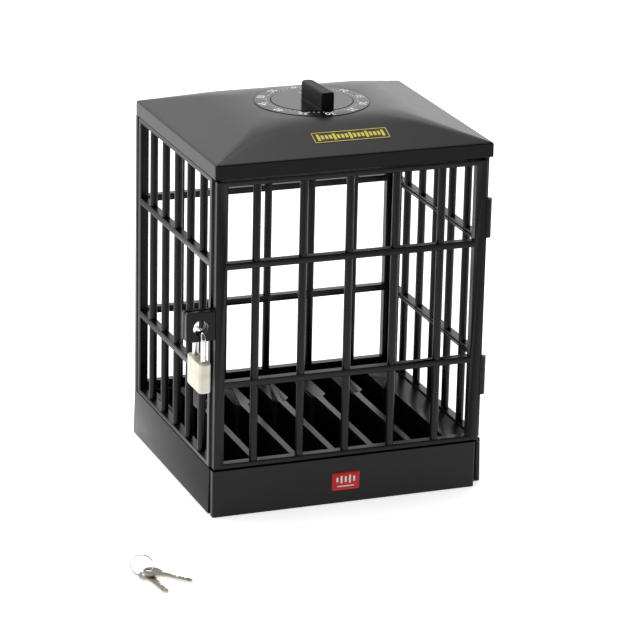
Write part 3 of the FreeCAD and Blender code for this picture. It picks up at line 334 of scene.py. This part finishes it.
def plain_mesh(holder):
    """What an object comes to with its modifiers, as a plain mesh. The object is removed."""
    bpy.context.view_layer.update()
    mesh = bpy.data.meshes.new_from_object(holder.evaluated_get(bpy.context.evaluated_depsgraph_get()))
    holder.modifiers.clear()
    bpy.data.objects.remove(holder)
    return mesh


def joined(meshes):
    """Several meshes as one."""
    shape = bmesh.new()
    for mesh in meshes:
        shape.from_mesh(mesh)
    return mesh_of(shape, "joined")


def outward(mesh):
    """Merges points that coincide and turns the faces outwards."""
    shape = bmesh.new()
    shape.from_mesh(mesh)
    bmesh.ops.remove_doubles(shape, verts=shape.verts, dist=SAME_POINT)
    bmesh.ops.recalc_face_normals(shape, faces=shape.faces)
    shape.to_mesh(mesh)
    shape.free()
    return mesh


def loft(rings):
    """A closed skin over rings of the same count, the last ring joined to the first."""
    count = len(rings[0])
    points = [Vector(point) * MM for ring in rings for point in ring]
    faces = []
    for low in range(len(rings)):
        high = (low + 1) % len(rings)
        for index in range(count):
            after = (index + 1) % count
            faces.append((low * count + index, low * count + after,
                          high * count + after, high * count + index))
    mesh = bpy.data.meshes.new("loft")
    mesh.from_pydata(points, [], faces)
    return outward(mesh)


def block(x_range, y_range, z_range):
    """A plain box as a mesh."""
    corners = [Vector((x, y, z)) * MM for z in z_range for x, y in
               ((x_range[0], y_range[0]), (x_range[1], y_range[0]),
                (x_range[1], y_range[1]), (x_range[0], y_range[1]))]
    faces = [(0, 3, 2, 1), (4, 5, 6, 7), (0, 1, 5, 4), (1, 2, 6, 5), (2, 3, 7, 6), (3, 0, 4, 7)]
    mesh = bpy.data.meshes.new("block")
    mesh.from_pydata(corners, [], faces)
    return mesh


def outline(half_wide, half_deep, corner, per_side=48, per_corner=4):
    """Points round a rectangle with rounded corners."""
    def on_corner(signs, angle):
        return (signs[0] * (half_wide - corner) + corner * math.cos(math.radians(angle)),
                signs[1] * (half_deep - corner) + corner * math.sin(math.radians(angle)))

    corners = ((1, 1), (-1, 1), (-1, -1), (1, -1))
    points = []
    for turn, signs in enumerate(corners):
        points += [on_corner(signs, 90 * turn + 90 * step / per_corner) for step in range(per_corner + 1)]
        start = points[-1]
        end = on_corner(corners[(turn + 1) % 4], 90 * (turn + 1))
        for step in range(1, per_side):
            share = step / per_side
            points.append((start[0] + (end[0] - start[0]) * share, start[1] + (end[1] - start[1]) * share))
    return points


# ---------------------------------------------------------------- eased edges and grooves

EASED = ("left_grille", "right_grille", "back_grille", "door_grille", "base_tub", "front_skirt",
         "phone_tray", "hasp_tab", "latch_staple")
EASE = 0.32
LONG_EDGE = 3.0
# The next two are angles in degrees, and the two after them are in metres.
SQUARE_FROM = 60.0
FLAT_WITHIN = 0.5
WELD = 0.000001
TOO_SMALL = 0.00001
# A groove is at -X on one side panel and at +X on the other. Its two heights are above the rail's low edge.
GROOVED = {"left_grille": -1, "right_grille": 1}
RAIL_LOW_EDGES = (71.6, 136.7)
GROOVE_LOW = 1.7
GROOVE_HIGH = 2.6
GROOVE_INNER = 72.0
GROOVE_OUTER = 73.8
GROOVE_HALF_DEPTH = 57.6


def grooved(mesh, side):
    """A side panel with a fine groove along the inner face of both of its middle rails."""
    reach = sorted((side * GROOVE_INNER, side * GROOVE_OUTER))
    blocks = [block(reach, (-GROOVE_HALF_DEPTH, GROOVE_HALF_DEPTH), (low + GROOVE_LOW, low + GROOVE_HIGH))
              for low in RAIL_LOW_EDGES]
    cutter = put_in_scene("groove_cutter", joined(blocks))
    panel = put_in_scene("panel", mesh)
    cut = panel.modifiers.new("groove", "BOOLEAN")
    cut.operation = "DIFFERENCE"
    cut.solver = "EXACT"
    cut.object = cutter
    result = plain_mesh(panel)
    bpy.data.objects.remove(cutter)
    return result


def ease_edges(name, body, slot):
    """A moulded piece with its long outer edges softened: it takes the place of its sharp solid."""
    shape = bmesh.new()
    shape.from_mesh(nodes[name].data)
    bmesh.ops.remove_doubles(shape, verts=shape.verts, dist=WELD)
    if name in GROOVED:
        welded = mesh_of(shape, name)
        shape = bmesh.new()
        shape.from_mesh(grooved(welded, GROOVED[name]))
    bmesh.ops.dissolve_limit(shape, angle_limit=math.radians(FLAT_WITHIN), verts=shape.verts,
                             edges=shape.edges)
    outer = [edge for edge in shape.edges
             if edge.is_manifold and edge.calc_face_angle_signed() > math.radians(SQUARE_FROM)
             and edge.calc_length() > LONG_EDGE * MM]
    bmesh.ops.bevel(shape, geom=outer, offset=EASE * MM, offset_type="OFFSET", segments=1, affect="EDGES",
                    clamp_overlap=False)
    bmesh.ops.dissolve_degenerate(shape, dist=TOO_SMALL, edges=shape.edges)
    piece = new_piece(name + "_eased", mesh_of(shape, name), FINISHES[slot], body)
    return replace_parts(piece, name)


def body_of(name):
    """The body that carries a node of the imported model."""
    return next(body for body, names in frame["record"]["behaviour"]["bodies"].items() if name in names)


def ease_all():
    """Softens every moulded piece."""
    for name in EASED:
        ease_edges(name, body_of(name), SLOTS[name])


# ---------------------------------------------------------------- lid

LID_HALF_WIDE = 77.5
LID_HALF_DEEP = 66.6
FLAT_HALF_WIDE = 38.5
FLAT_HALF_DEEP = 35.4
ROOF_TOP = 205.0
RIM_TOP = 193.4
LID_LOW = 185.8
LID_WALL = 2.2
CEILING_UNDER_ROOF = 2.4
WALL_UNDER_RIM = 1.8
RIM_EDGE = 0.5
RIM_CORNER = 0.6
RIM_STEPS = (60, 30, 0)
RIM_SUPPORT = 0.08
DIAL_X = -0.4
DIAL_HOLE = 22.4
EDGE_SOFTNESS = 4.0
HIP_SOFTNESS = 4.6
HIP_SHARPENS = 1.3
ROOF_ROWS = 44
CEILING_ROWS = 12


def softly_least(first, second, softness):
    """The lesser of two heights, rounded off where they are close."""
    if softness <= 0:
        return min(first, second)
    near = max(softness - abs(first - second), 0.0) / softness
    return min(first, second) - near * near * softness / 4


def roof_height(x, y):
    """Height of the roof over a point: a flat top that falls in soft slopes to the rim."""
    fall = ROOF_TOP - RIM_TOP
    side = ROOF_TOP - fall * (abs(x) - FLAT_HALF_WIDE) / (LID_HALF_WIDE - FLAT_HALF_WIDE)
    front = ROOF_TOP - fall * (abs(y) - FLAT_HALF_DEEP) / (LID_HALF_DEEP - FLAT_HALF_DEEP)
    lifted = min(max((min(side, front) - RIM_TOP) / fall, 0.0), 1.0)
    slope = softly_least(side, front, HIP_SOFTNESS * lifted ** HIP_SHARPENS)
    return softly_least(ROOF_TOP, slope, EDGE_SOFTNESS)


def to_hole(border, share):
    """Points a share of the way from the dial's hole out to a border."""
    points = []
    for x, y in border:
        reach = math.hypot(x - DIAL_X, y)
        inner = (DIAL_X + DIAL_HOLE * (x - DIAL_X) / reach, DIAL_HOLE * y / reach)
        points.append((inner[0] + (x - inner[0]) * share, inner[1] + (y - inner[1]) * share))
    return points


def lid_outline(inset, corner):
    """The lid's outline from above, drawn in by an inset."""
    return outline(LID_HALF_WIDE - inset, LID_HALF_DEEP - inset, corner)


def lid_shell():
    """The lid: soft slopes, a rounded rim edge, hollow below, with the round hole for the dial."""
    rings = []
    border = lid_outline(RIM_EDGE, RIM_CORNER)
    for step in range(ROOF_ROWS + 1):
        rings.append([(x, y, roof_height(x, y)) for x, y in to_hole(border, step / ROOF_ROWS)])
    for angle in RIM_STEPS:
        grow = RIM_EDGE * math.cos(math.radians(angle))
        height = RIM_TOP - RIM_EDGE + RIM_EDGE * math.sin(math.radians(angle))
        rings.append([(x, y, height) for x, y in lid_outline(RIM_EDGE - grow, RIM_CORNER + grow)])
    for height, inset in ((RIM_TOP - RIM_EDGE - RIM_SUPPORT, 0.0), (LID_LOW, 0.0), (LID_LOW, LID_WALL),
                          (RIM_TOP - WALL_UNDER_RIM, LID_WALL)):
        rings.append([(x, y, height) for x, y in lid_outline(inset, RIM_CORNER)])
    border = lid_outline(LID_WALL, RIM_CORNER)
    for step in reversed(range(CEILING_ROWS)):
        rings.append([(x, y, roof_height(x, y) - CEILING_UNDER_ROOF)
                      for x, y in to_hole(border, step / CEILING_ROWS)])
    lid = new_piece("lid_shell", loft(rings), FINISHES["black_shell"], "cage", SHARP_FROM_ON_SOFT_FORMS)
    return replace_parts(lid, "roof_lid")


def laid_on_roof(mesh, lift):
    """Drapes a flat mesh on the roof: each point rises by the roof's height there and by lift."""
    for vertex in mesh.vertices:
        vertex.co.z += (roof_height(vertex.co.x / MM, vertex.co.y / MM) + lift) * MM
    mesh.update()
    return mesh


# ---------------------------------------------------------------- dial

RING_OUTER = 31.2
RING_WALL = 0.22
RING_SUNK = 0.1
RING_SIDES = 144
CIRCLE_INNER = 30.95
INK_WALL = 0.03
NUMBERS = 12
MINUTES_APART = 5
NUMBER_REACH = 27.6
NUMBER_SIZE = 5.7
NUMBER_WEIGHT = 0.12
TICKS = 60
TICK_REACH = 24.6
TICK_RADIUS = 0.42
TICK_SIDES = 14
POINTER_REACH = 15.6
POINTER_WIDE = 0.5
POINTER_LONG = 2.4
POINTER_CORNER = 0.2
KNOB_TURN = 3.2


def turned_about_dial(angle):
    """A turn about the dial's own axis, in degrees."""
    return Matrix.Translation((DIAL_X * MM, 0, 0)) @ Matrix.Rotation(math.radians(angle), 4, "Z")


def round_strip(inner, outer, low, high, rows=4):
    """A flat ring about the dial's axis, with heights measured from the roof."""
    def circle_at(radius, height):
        turns = [math.tau * index / RING_SIDES for index in range(RING_SIDES)]
        return [(DIAL_X + radius * math.cos(turn), radius * math.sin(turn), height) for turn in turns]

    spread = [inner + (outer - inner) * row / rows for row in range(rows + 1)]
    return loft([circle_at(radius, high) for radius in spread]
                + [circle_at(radius, low) for radius in reversed(spread)])


def dial_ring():
    """The thin ring round the dial that carries the numbers."""
    mesh = laid_on_roof(round_strip(DIAL_HOLE, RING_OUTER, -RING_SUNK, RING_WALL), 0.0)
    ring = new_piece("dial_ring", mesh, FINISHES["dial_plastic"], "cage")
    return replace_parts(ring, "number_ring")


def dial_circle():
    """The thin dark line that bounds the numbers."""
    mesh = laid_on_roof(round_strip(CIRCLE_INNER, RING_OUTER, 0.0, RING_WALL + INK_WALL, rows=1), 0.0)
    return new_piece("dial_circle", mesh, INKS["black"], "cage")


def lettered(text):
    """A plain number as a thin flat mesh, centred on the origin."""
    curve = bpy.data.curves.new("number", "FONT")
    curve.body = text
    curve.size = NUMBER_SIZE * MM
    curve.align_x = "CENTER"
    curve.align_y = "CENTER"
    curve.extrude = INK_WALL / 2 * MM
    curve.offset = NUMBER_WEIGHT * MM
    curve.resolution_u = 3
    mesh = plain_mesh(put_in_scene("number", curve))
    middle = (Vector(min(v.co[i] for v in mesh.vertices) for i in range(3))
              + Vector(max(v.co[i] for v in mesh.vertices) for i in range(3))) / 2
    mesh.transform(Matrix.Translation(-middle))
    return mesh


def dial_numbers():
    """Minutes from 0 to 55 round the dial, each upright as it comes to the back."""
    numbers = []
    for step in range(NUMBERS):
        mesh = lettered(str(MINUTES_APART * step))
        clockwise = math.radians(360 / NUMBERS * step)
        place = Vector((DIAL_X + NUMBER_REACH * math.sin(clockwise),
                        NUMBER_REACH * math.cos(clockwise), 0)) * MM
        mesh.transform(Matrix.Translation(place) @ Matrix.Rotation(-clockwise, 4, "Z"))
        numbers.append(mesh)
    mesh = laid_on_roof(joined(numbers), RING_WALL + INK_WALL)
    return new_piece("dial_numbers", mesh, INKS["white"], "cage")


def socket_value(modifier, tree, name, value):
    """Sets a named input of a node modifier by the socket's identifier."""
    for item in tree.interface.items_tree:
        if item.item_type == "SOCKET" and item.in_out == "INPUT" and item.name == name:
            modifier[item.identifier] = value


def grown(tree, values, finish):
    """Runs a geometry node tree by itself and gives its result as a plain mesh."""
    holder = put_in_scene("seed", bpy.data.meshes.new("seed"))
    modifier = holder.modifiers.new("grow", "NODES")
    modifier.node_group = tree
    for name, value in values.items():
        socket_value(modifier, tree, name, value)
    socket_value(modifier, tree, "Finish", finish)
    return plain_mesh(holder)


def open_tree(name, inputs):
    """A geometry node tree with named inputs and one geometry output."""
    tree = bpy.data.node_groups.new(name, "GeometryNodeTree")
    for label, kind in inputs:
        tree.interface.new_socket(name=label, in_out="INPUT", socket_type=kind)
    tree.interface.new_socket(name="Finish", in_out="INPUT", socket_type="NodeSocketMaterial")
    tree.interface.new_socket(name="Geometry", in_out="OUTPUT", socket_type="NodeSocketGeometry")
    return tree, tree.nodes.new("NodeGroupInput").outputs


def close_tree(tree, geometry, sources):
    """Ends a tree in Realize Instances and Set Material."""
    real = add(tree, "GeometryNodeRealizeInstances", Geometry=geometry)
    painted = add(tree, "GeometryNodeSetMaterial", Geometry=real.outputs["Geometry"],
                  Material=sources["Finish"])
    add(tree, "NodeGroupOutput", Geometry=painted.outputs["Geometry"])
    return tree


def tick_tree():
    """Round ticks on a circle, with a gap at every place where a number stands."""
    tree, sources = open_tree("tick_circle", (
        ("Reach", "NodeSocketFloat"), ("Ticks", "NodeSocketInt"), ("Gap Every", "NodeSocketInt"),
        ("Tick Radius", "NodeSocketFloat"), ("Thickness", "NodeSocketFloat")))
    circle = add(tree, "GeometryNodeMeshCircle", Vertices=sources["Ticks"], Radius=sources["Reach"])
    order = add(tree, "GeometryNodeInputIndex").outputs[0]
    numbered = worked_out(tree, "LESS_THAN", worked_out(tree, "MODULO", order, sources["Gap Every"]), 0.5)
    kept = add(tree, "GeometryNodeDeleteGeometry", Geometry=circle.outputs["Mesh"], Selection=numbered)
    tick = add(tree, "GeometryNodeMeshCylinder", Vertices=TICK_SIDES, Radius=sources["Tick Radius"],
               Depth=sources["Thickness"])
    ticks = add(tree, "GeometryNodeInstanceOnPoints", Points=kept.outputs["Geometry"],
                Instance=tick.outputs["Mesh"])
    return close_tree(tree, ticks.outputs["Instances"], sources)


def dial_ticks():
    """The round minute ticks inside the numbers."""
    sizes = {"Reach": TICK_REACH * MM, "Ticks": TICKS, "Gap Every": MINUTES_APART,
             "Tick Radius": TICK_RADIUS * MM, "Thickness": INK_WALL * MM}
    mesh = grown(tick_tree(), sizes, INKS["white"])
    mesh.transform(Matrix.Translation((DIAL_X * MM, 0, 0)))
    laid_on_roof(mesh, RING_WALL + INK_WALL)
    return new_piece("dial_ticks", mesh, INKS["white"], "cage")


def bar_mark(wide, deep, corner, place=(0, 0), per_side=8):
    """A thin flat mark with rounded corners."""
    border = outline(wide / 2, deep / 2, corner, per_side)
    shape = bmesh.new()
    low, high = [[shape.verts.new(Vector((x, y, height)) * MM) for x, y in border]
                 for height in (-INK_WALL / 2, INK_WALL / 2)]
    shape.faces.new(high)
    shape.faces.new(list(reversed(low)))
    for index in range(len(border)):
        after = (index + 1) % len(border)
        shape.faces.new((low[index], low[after], high[after], high[index]))
    bmesh.ops.recalc_face_normals(shape, faces=shape.faces)
    mesh = mesh_of(shape, "mark")
    mesh.transform(Matrix.Translation((place[0] * MM, place[1] * MM, 0)))
    return mesh


def dial_pointer():
    """The short light stroke on the disc that points at the minutes."""
    mesh = bar_mark(POINTER_WIDE, POINTER_LONG, POINTER_CORNER)
    mesh.transform(Matrix.Translation((0, POINTER_REACH * MM, (DISC_TOP + INK_WALL) * MM)))
    mesh.transform(turned_about_dial(KNOB_TURN))
    return new_piece("dial_pointer", mesh, INKS["white"], "timer_dial")


# ---------------------------------------------------------------- label

LABEL_WIDE = 42.8
LABEL_DEEP = 9.1
LABEL_PLACE = (2.3, -50.85)
LABEL_WALL = 0.1
LABEL_LIFT = 0.01
LABEL_COLUMNS = 24
LABEL_ROWS = 6
LABEL_MARGIN = 0.45
LABEL_LINE = 0.42
LINE_CORNER = 0.05
LINE_POINTS = 24
SCALE_BARS = 17
SCALE_START = -18.0
SCALE_PITCH = 2.25
SCALE_BAR = 1.5
SCALE_CORNER = 0.2
TALL_EVERY = 4
TALL_BAR = 5.0
SHORT_BAR = 3.2


def flat_frame(wide, deep, line):
    """A rectangular outline of four thin marks."""
    long_marks = [bar_mark(wide, line, LINE_CORNER, (0, side * (deep - line) / 2), LINE_POINTS)
                  for side in (-1, 1)]
    return long_marks + [bar_mark(line, deep, LINE_CORNER, (side * (wide - line) / 2, 0), LINE_POINTS)
                         for side in (-1, 1)]


def film(wide, deep, columns, rows, wall):
    """A thin sheet cut to a rectangle and divided in rows, so that it can lie on a curve."""
    def point(column, row, height):
        return Vector((wide * (column / columns - 0.5), deep * (row / rows - 0.5), height)) * MM

    shape = bmesh.new()
    layers = [[[shape.verts.new(point(column, row, height)) for column in range(columns + 1)]
               for row in range(rows + 1)] for height in (0.0, wall)]
    for layer in layers:
        for row in range(rows):
            for column in range(columns):
                shape.faces.new((layer[row][column], layer[row][column + 1],
                                 layer[row + 1][column + 1], layer[row + 1][column]))
    rim = [(0, column) for column in range(columns)] + [(row, columns) for row in range(rows)]
    rim += [(rows, column) for column in range(columns, 0, -1)] + [(row, 0) for row in range(rows, 0, -1)]
    for here, after in zip(rim, rim[1:] + rim[:1]):
        shape.faces.new([layers[0][row][column] for row, column in (here, after)]
                        + [layers[1][row][column] for row, column in (after, here)])
    bmesh.ops.recalc_face_normals(shape, faces=shape.faces)
    return mesh_of(shape, "film")


def roof_label():
    """The film on the front slope, with a thin yellow outline and a row of bars like a time scale."""
    place = Matrix.Translation((LABEL_PLACE[0] * MM, LABEL_PLACE[1] * MM, 0))
    ground = film(LABEL_WIDE, LABEL_DEEP, LABEL_COLUMNS, LABEL_ROWS, LABEL_WALL)
    ground.transform(place)
    label = new_piece("roof_label", laid_on_roof(ground, LABEL_LIFT), FINISHES["label_film"], "cage")
    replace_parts(label, "roof_label_plate")
    marks = flat_frame(LABEL_WIDE - 2 * LABEL_MARGIN, LABEL_DEEP - 2 * LABEL_MARGIN, LABEL_LINE)
    for step in range(SCALE_BARS):
        tall = SHORT_BAR if step % TALL_EVERY else TALL_BAR
        marks.append(bar_mark(SCALE_BAR, tall, SCALE_CORNER, (SCALE_START + SCALE_PITCH * step, 0)))
    scale = joined(marks)
    scale.transform(place)
    return new_piece("label_scale", laid_on_roof(scale, LABEL_WALL + INK_WALL), INKS["yellow"], "cage")


# ---------------------------------------------------------------- badge

BADGE_LOW = (-10.2, 7.6)
BADGE_HIGH = (5.5, 17.7)
BADGE_BACK = -67.9
BADGE_WALL = 0.38
BADGE_RIM = 0.12
BADGE_CORNER = 1.1
BADGE_SHARES = (0.66, 0.33, 0.001)
BADGE_BARS = (2.6, 4.2, 3.4, 4.6, 3.0)
BADGE_BAR = 1.1
BADGE_BAR_CORNER = 0.3
BADGE_BAR_PITCH = 2.4
BADGE_BAR_HEIGHT = 0.9
BADGE_LINE = (9.6, 0.6)
BADGE_LINE_CORNER = 0.25
BADGE_LINE_HEIGHT = -2.9
BADGE_INK_SUNK = 0.01


def badge_place(depth):
    """Stands a flat shape upright on the skirt, at a depth."""
    middle = ((BADGE_LOW[0] + BADGE_HIGH[0]) / 2, (BADGE_LOW[1] + BADGE_HIGH[1]) / 2)
    return (Matrix.Translation((middle[0] * MM, depth * MM, middle[1] * MM))
            @ Matrix.Rotation(math.radians(90), 4, "X"))


def rounded_badge():
    """The red badge on the skirt, with rounded corners and a softened rim."""
    half_wide = (BADGE_HIGH[0] - BADGE_LOW[0]) / 2
    half_tall = (BADGE_HIGH[1] - BADGE_LOW[1]) / 2
    rings = []
    for proud, inset in ((0.0, 0.0), (BADGE_WALL - BADGE_RIM, 0.0), (BADGE_WALL, BADGE_RIM)):
        border = outline(half_wide - inset, half_tall - inset, BADGE_CORNER - inset,
                         per_side=2, per_corner=6)
        rings.append([(x, y, proud) for x, y in border])
    front, back = rings[-1], rings[0]
    for share in BADGE_SHARES:
        rings.append([(x * share, y * share, BADGE_WALL) for x, y, proud in front])
    rings.append([(x * BADGE_SHARES[-1], y * BADGE_SHARES[-1], 0.0) for x, y, proud in back])
    mesh = loft(rings)
    mesh.transform(badge_place(BADGE_BACK))
    badge = new_piece("rounded_badge", mesh, FINISHES["red_badge"], "cage", SHARP_FROM_ON_SOFT_FORMS)
    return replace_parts(badge, "skirt_badge")


def badge_marks():
    """Five white bars over a thin line on the badge."""
    middle = (len(BADGE_BARS) - 1) / 2
    marks = [bar_mark(BADGE_BAR, tall, BADGE_BAR_CORNER,
                      (BADGE_BAR_PITCH * (step - middle), BADGE_BAR_HEIGHT))
             for step, tall in enumerate(BADGE_BARS)]
    marks.append(bar_mark(*BADGE_LINE, BADGE_LINE_CORNER, (0, BADGE_LINE_HEIGHT)))
    mesh = joined(marks)
    mesh.transform(badge_place(BADGE_BACK - BADGE_WALL + BADGE_INK_SUNK))
    return new_piece("badge_marks", mesh, INKS["white"], "cage")


# ---------------------------------------------------------------- floor, light and camera

FLOOR_TONE = 0.86
FLOOR_DRIFT = 1.02
FLOOR_CLOUDS = 3.0
FLOOR_SHINE = 0.9
FLOOR_HALF = 6.0
LIT_FROM_BELOW = 0.70
UNLIT_FRONT = -0.50
LIT_FRONT = -0.29


def floor():
    """A pale floor that glows evenly under and behind the object and fades out in front of it."""
    material, tree, shader = finish_named("floor_white")
    where = place_on_object(tree)
    drift = clouds(tree, where, FLOOR_CLOUDS, 2.0)
    tone, lighter = FLOOR_TONE, FLOOR_TONE * FLOOR_DRIFT
    feed(tree, shader.inputs["Base Color"],
         blended(tree, drift, (tone, tone, tone, 1), (lighter, lighter, lighter, 1)))
    shader.inputs["Roughness"].default_value = FLOOR_SHINE
    shader.inputs["Specular IOR Level"].default_value = 0.0
    depth = add(tree, "ShaderNodeSeparateXYZ", Vector=where).outputs["Y"]
    feed(tree, shader.inputs["Emission Strength"],
         between(tree, depth, 0.0, LIT_FROM_BELOW, UNLIT_FRONT, LIT_FRONT))
    shader.inputs["Emission Color"].default_value = (1, 1, 1, 1)
    mesh = bpy.data.meshes.new("floor")
    corners = [(-FLOOR_HALF, -FLOOR_HALF, 0), (FLOOR_HALF, -FLOOR_HALF, 0),
               (FLOOR_HALF, FLOOR_HALF, 0), (-FLOOR_HALF, FLOOR_HALF, 0)]
    mesh.from_pydata(corners, [], [(0, 1, 2, 3)])
    mesh.materials.append(material)
    piece = put_in_scene("floor", mesh)


ROOM_FRONT = 0.10
ROOM_BACK = 1.35
ROOM_FRONT_TO_BACK = (-0.5, 0.35)
ROOM_OVERHEAD = 0.45
ROOM_LEVEL_TO_OVERHEAD = (0.45, 0.8)


def room():
    """A pale room: brightest behind, less so overhead, and dim in front."""
    world = bpy.data.worlds.new("room")
    bpy.context.scene.world = world
    world.use_nodes = True
    tree = world.node_tree
    way = add(tree, "ShaderNodeSeparateXYZ", Vector=add(tree, "ShaderNodeTexCoord").outputs["Generated"])
    behind = between(tree, way.outputs["Y"], ROOM_FRONT, ROOM_BACK, *ROOM_FRONT_TO_BACK)
    overhead = between(tree, way.outputs["Z"], 1.0, ROOM_OVERHEAD, *ROOM_LEVEL_TO_OVERHEAD)
    background = tree.nodes["Background"]
    background.inputs["Color"].default_value = (1, 1, 1, 1)
    feed(tree, background.inputs["Strength"], worked_out(tree, "MULTIPLY", behind, overhead))


LAMP_PLACE = Vector((-0.35, 0.7, 2.2))
LAMP_TARGET = Vector((-0.35, 0.7, 0))
LAMP_WIDE = 2.3
LAMP_DEEP = 1.9
LAMP_POWER = 32.0


def overhead_lamp():
    """One broad soft lamp above and behind."""
    lamp = bpy.data.lights.new("overhead", "AREA")
    lamp.shape = "RECTANGLE"
    lamp.size, lamp.size_y = LAMP_WIDE, LAMP_DEEP
    lamp.energy = LAMP_POWER
    holder = put_in_scene("overhead", lamp)
    holder.location = LAMP_PLACE
    holder.rotation_mode = "QUATERNION"
    holder.rotation_quaternion = (LAMP_TARGET - LAMP_PLACE).to_track_quat("-Z", "Y")


CAMERA_TARGET = Vector((-0.10599, -0.29230, 0.18735))
CAMERA_DISTANCE = 1.5
CAMERA_AZIMUTH = math.radians(-21.168)
CAMERA_ELEVATION = math.radians(18.871)
CAMERA_ROLL = math.radians(1.316)
# The lens and its sensor are in mm.
FOCAL_LENGTH = 188.16
SENSOR = 36.0
NEAREST = 0.05
FARTHEST = 30.0


def camera():
    """The camera: it looks at its target from an azimuth and an elevation, with a slight roll."""
    back = Vector((math.sin(CAMERA_AZIMUTH) * math.cos(CAMERA_ELEVATION),
                   -math.cos(CAMERA_AZIMUTH) * math.cos(CAMERA_ELEVATION),
                   math.sin(CAMERA_ELEVATION)))
    level = Vector((0, 0, 1)).cross(back).normalized()
    upright = back.cross(level)
    right = level * math.cos(CAMERA_ROLL) + upright * math.sin(CAMERA_ROLL)
    up = upright * math.cos(CAMERA_ROLL) - level * math.sin(CAMERA_ROLL)
    eye = CAMERA_TARGET + back * CAMERA_DISTANCE
    lens = bpy.data.cameras.new("camera")
    lens.lens = FOCAL_LENGTH
    lens.sensor_width = SENSOR
    lens.clip_start, lens.clip_end = NEAREST, FARTHEST
    holder = put_in_scene("camera", lens)
    holder.matrix_world = Matrix((
        (right.x, up.x, back.x, eye.x),
        (right.y, up.y, back.y, eye.y),
        (right.z, up.z, back.z, eye.z),
        (0, 0, 0, 1)))
    bpy.context.scene.camera = holder


# ---------------------------------------------------------------- everything in its place

dress_nodes()
ease_all()
lid_shell()
dial_ring()
dial_circle()
dial_numbers()
dial_ticks()
dial_pointer()
roof_label()
rounded_badge()
badge_marks()
floor()
room()
overhead_lamp()
camera()
bpy.context.scene.view_settings.view_transform = "Standard"
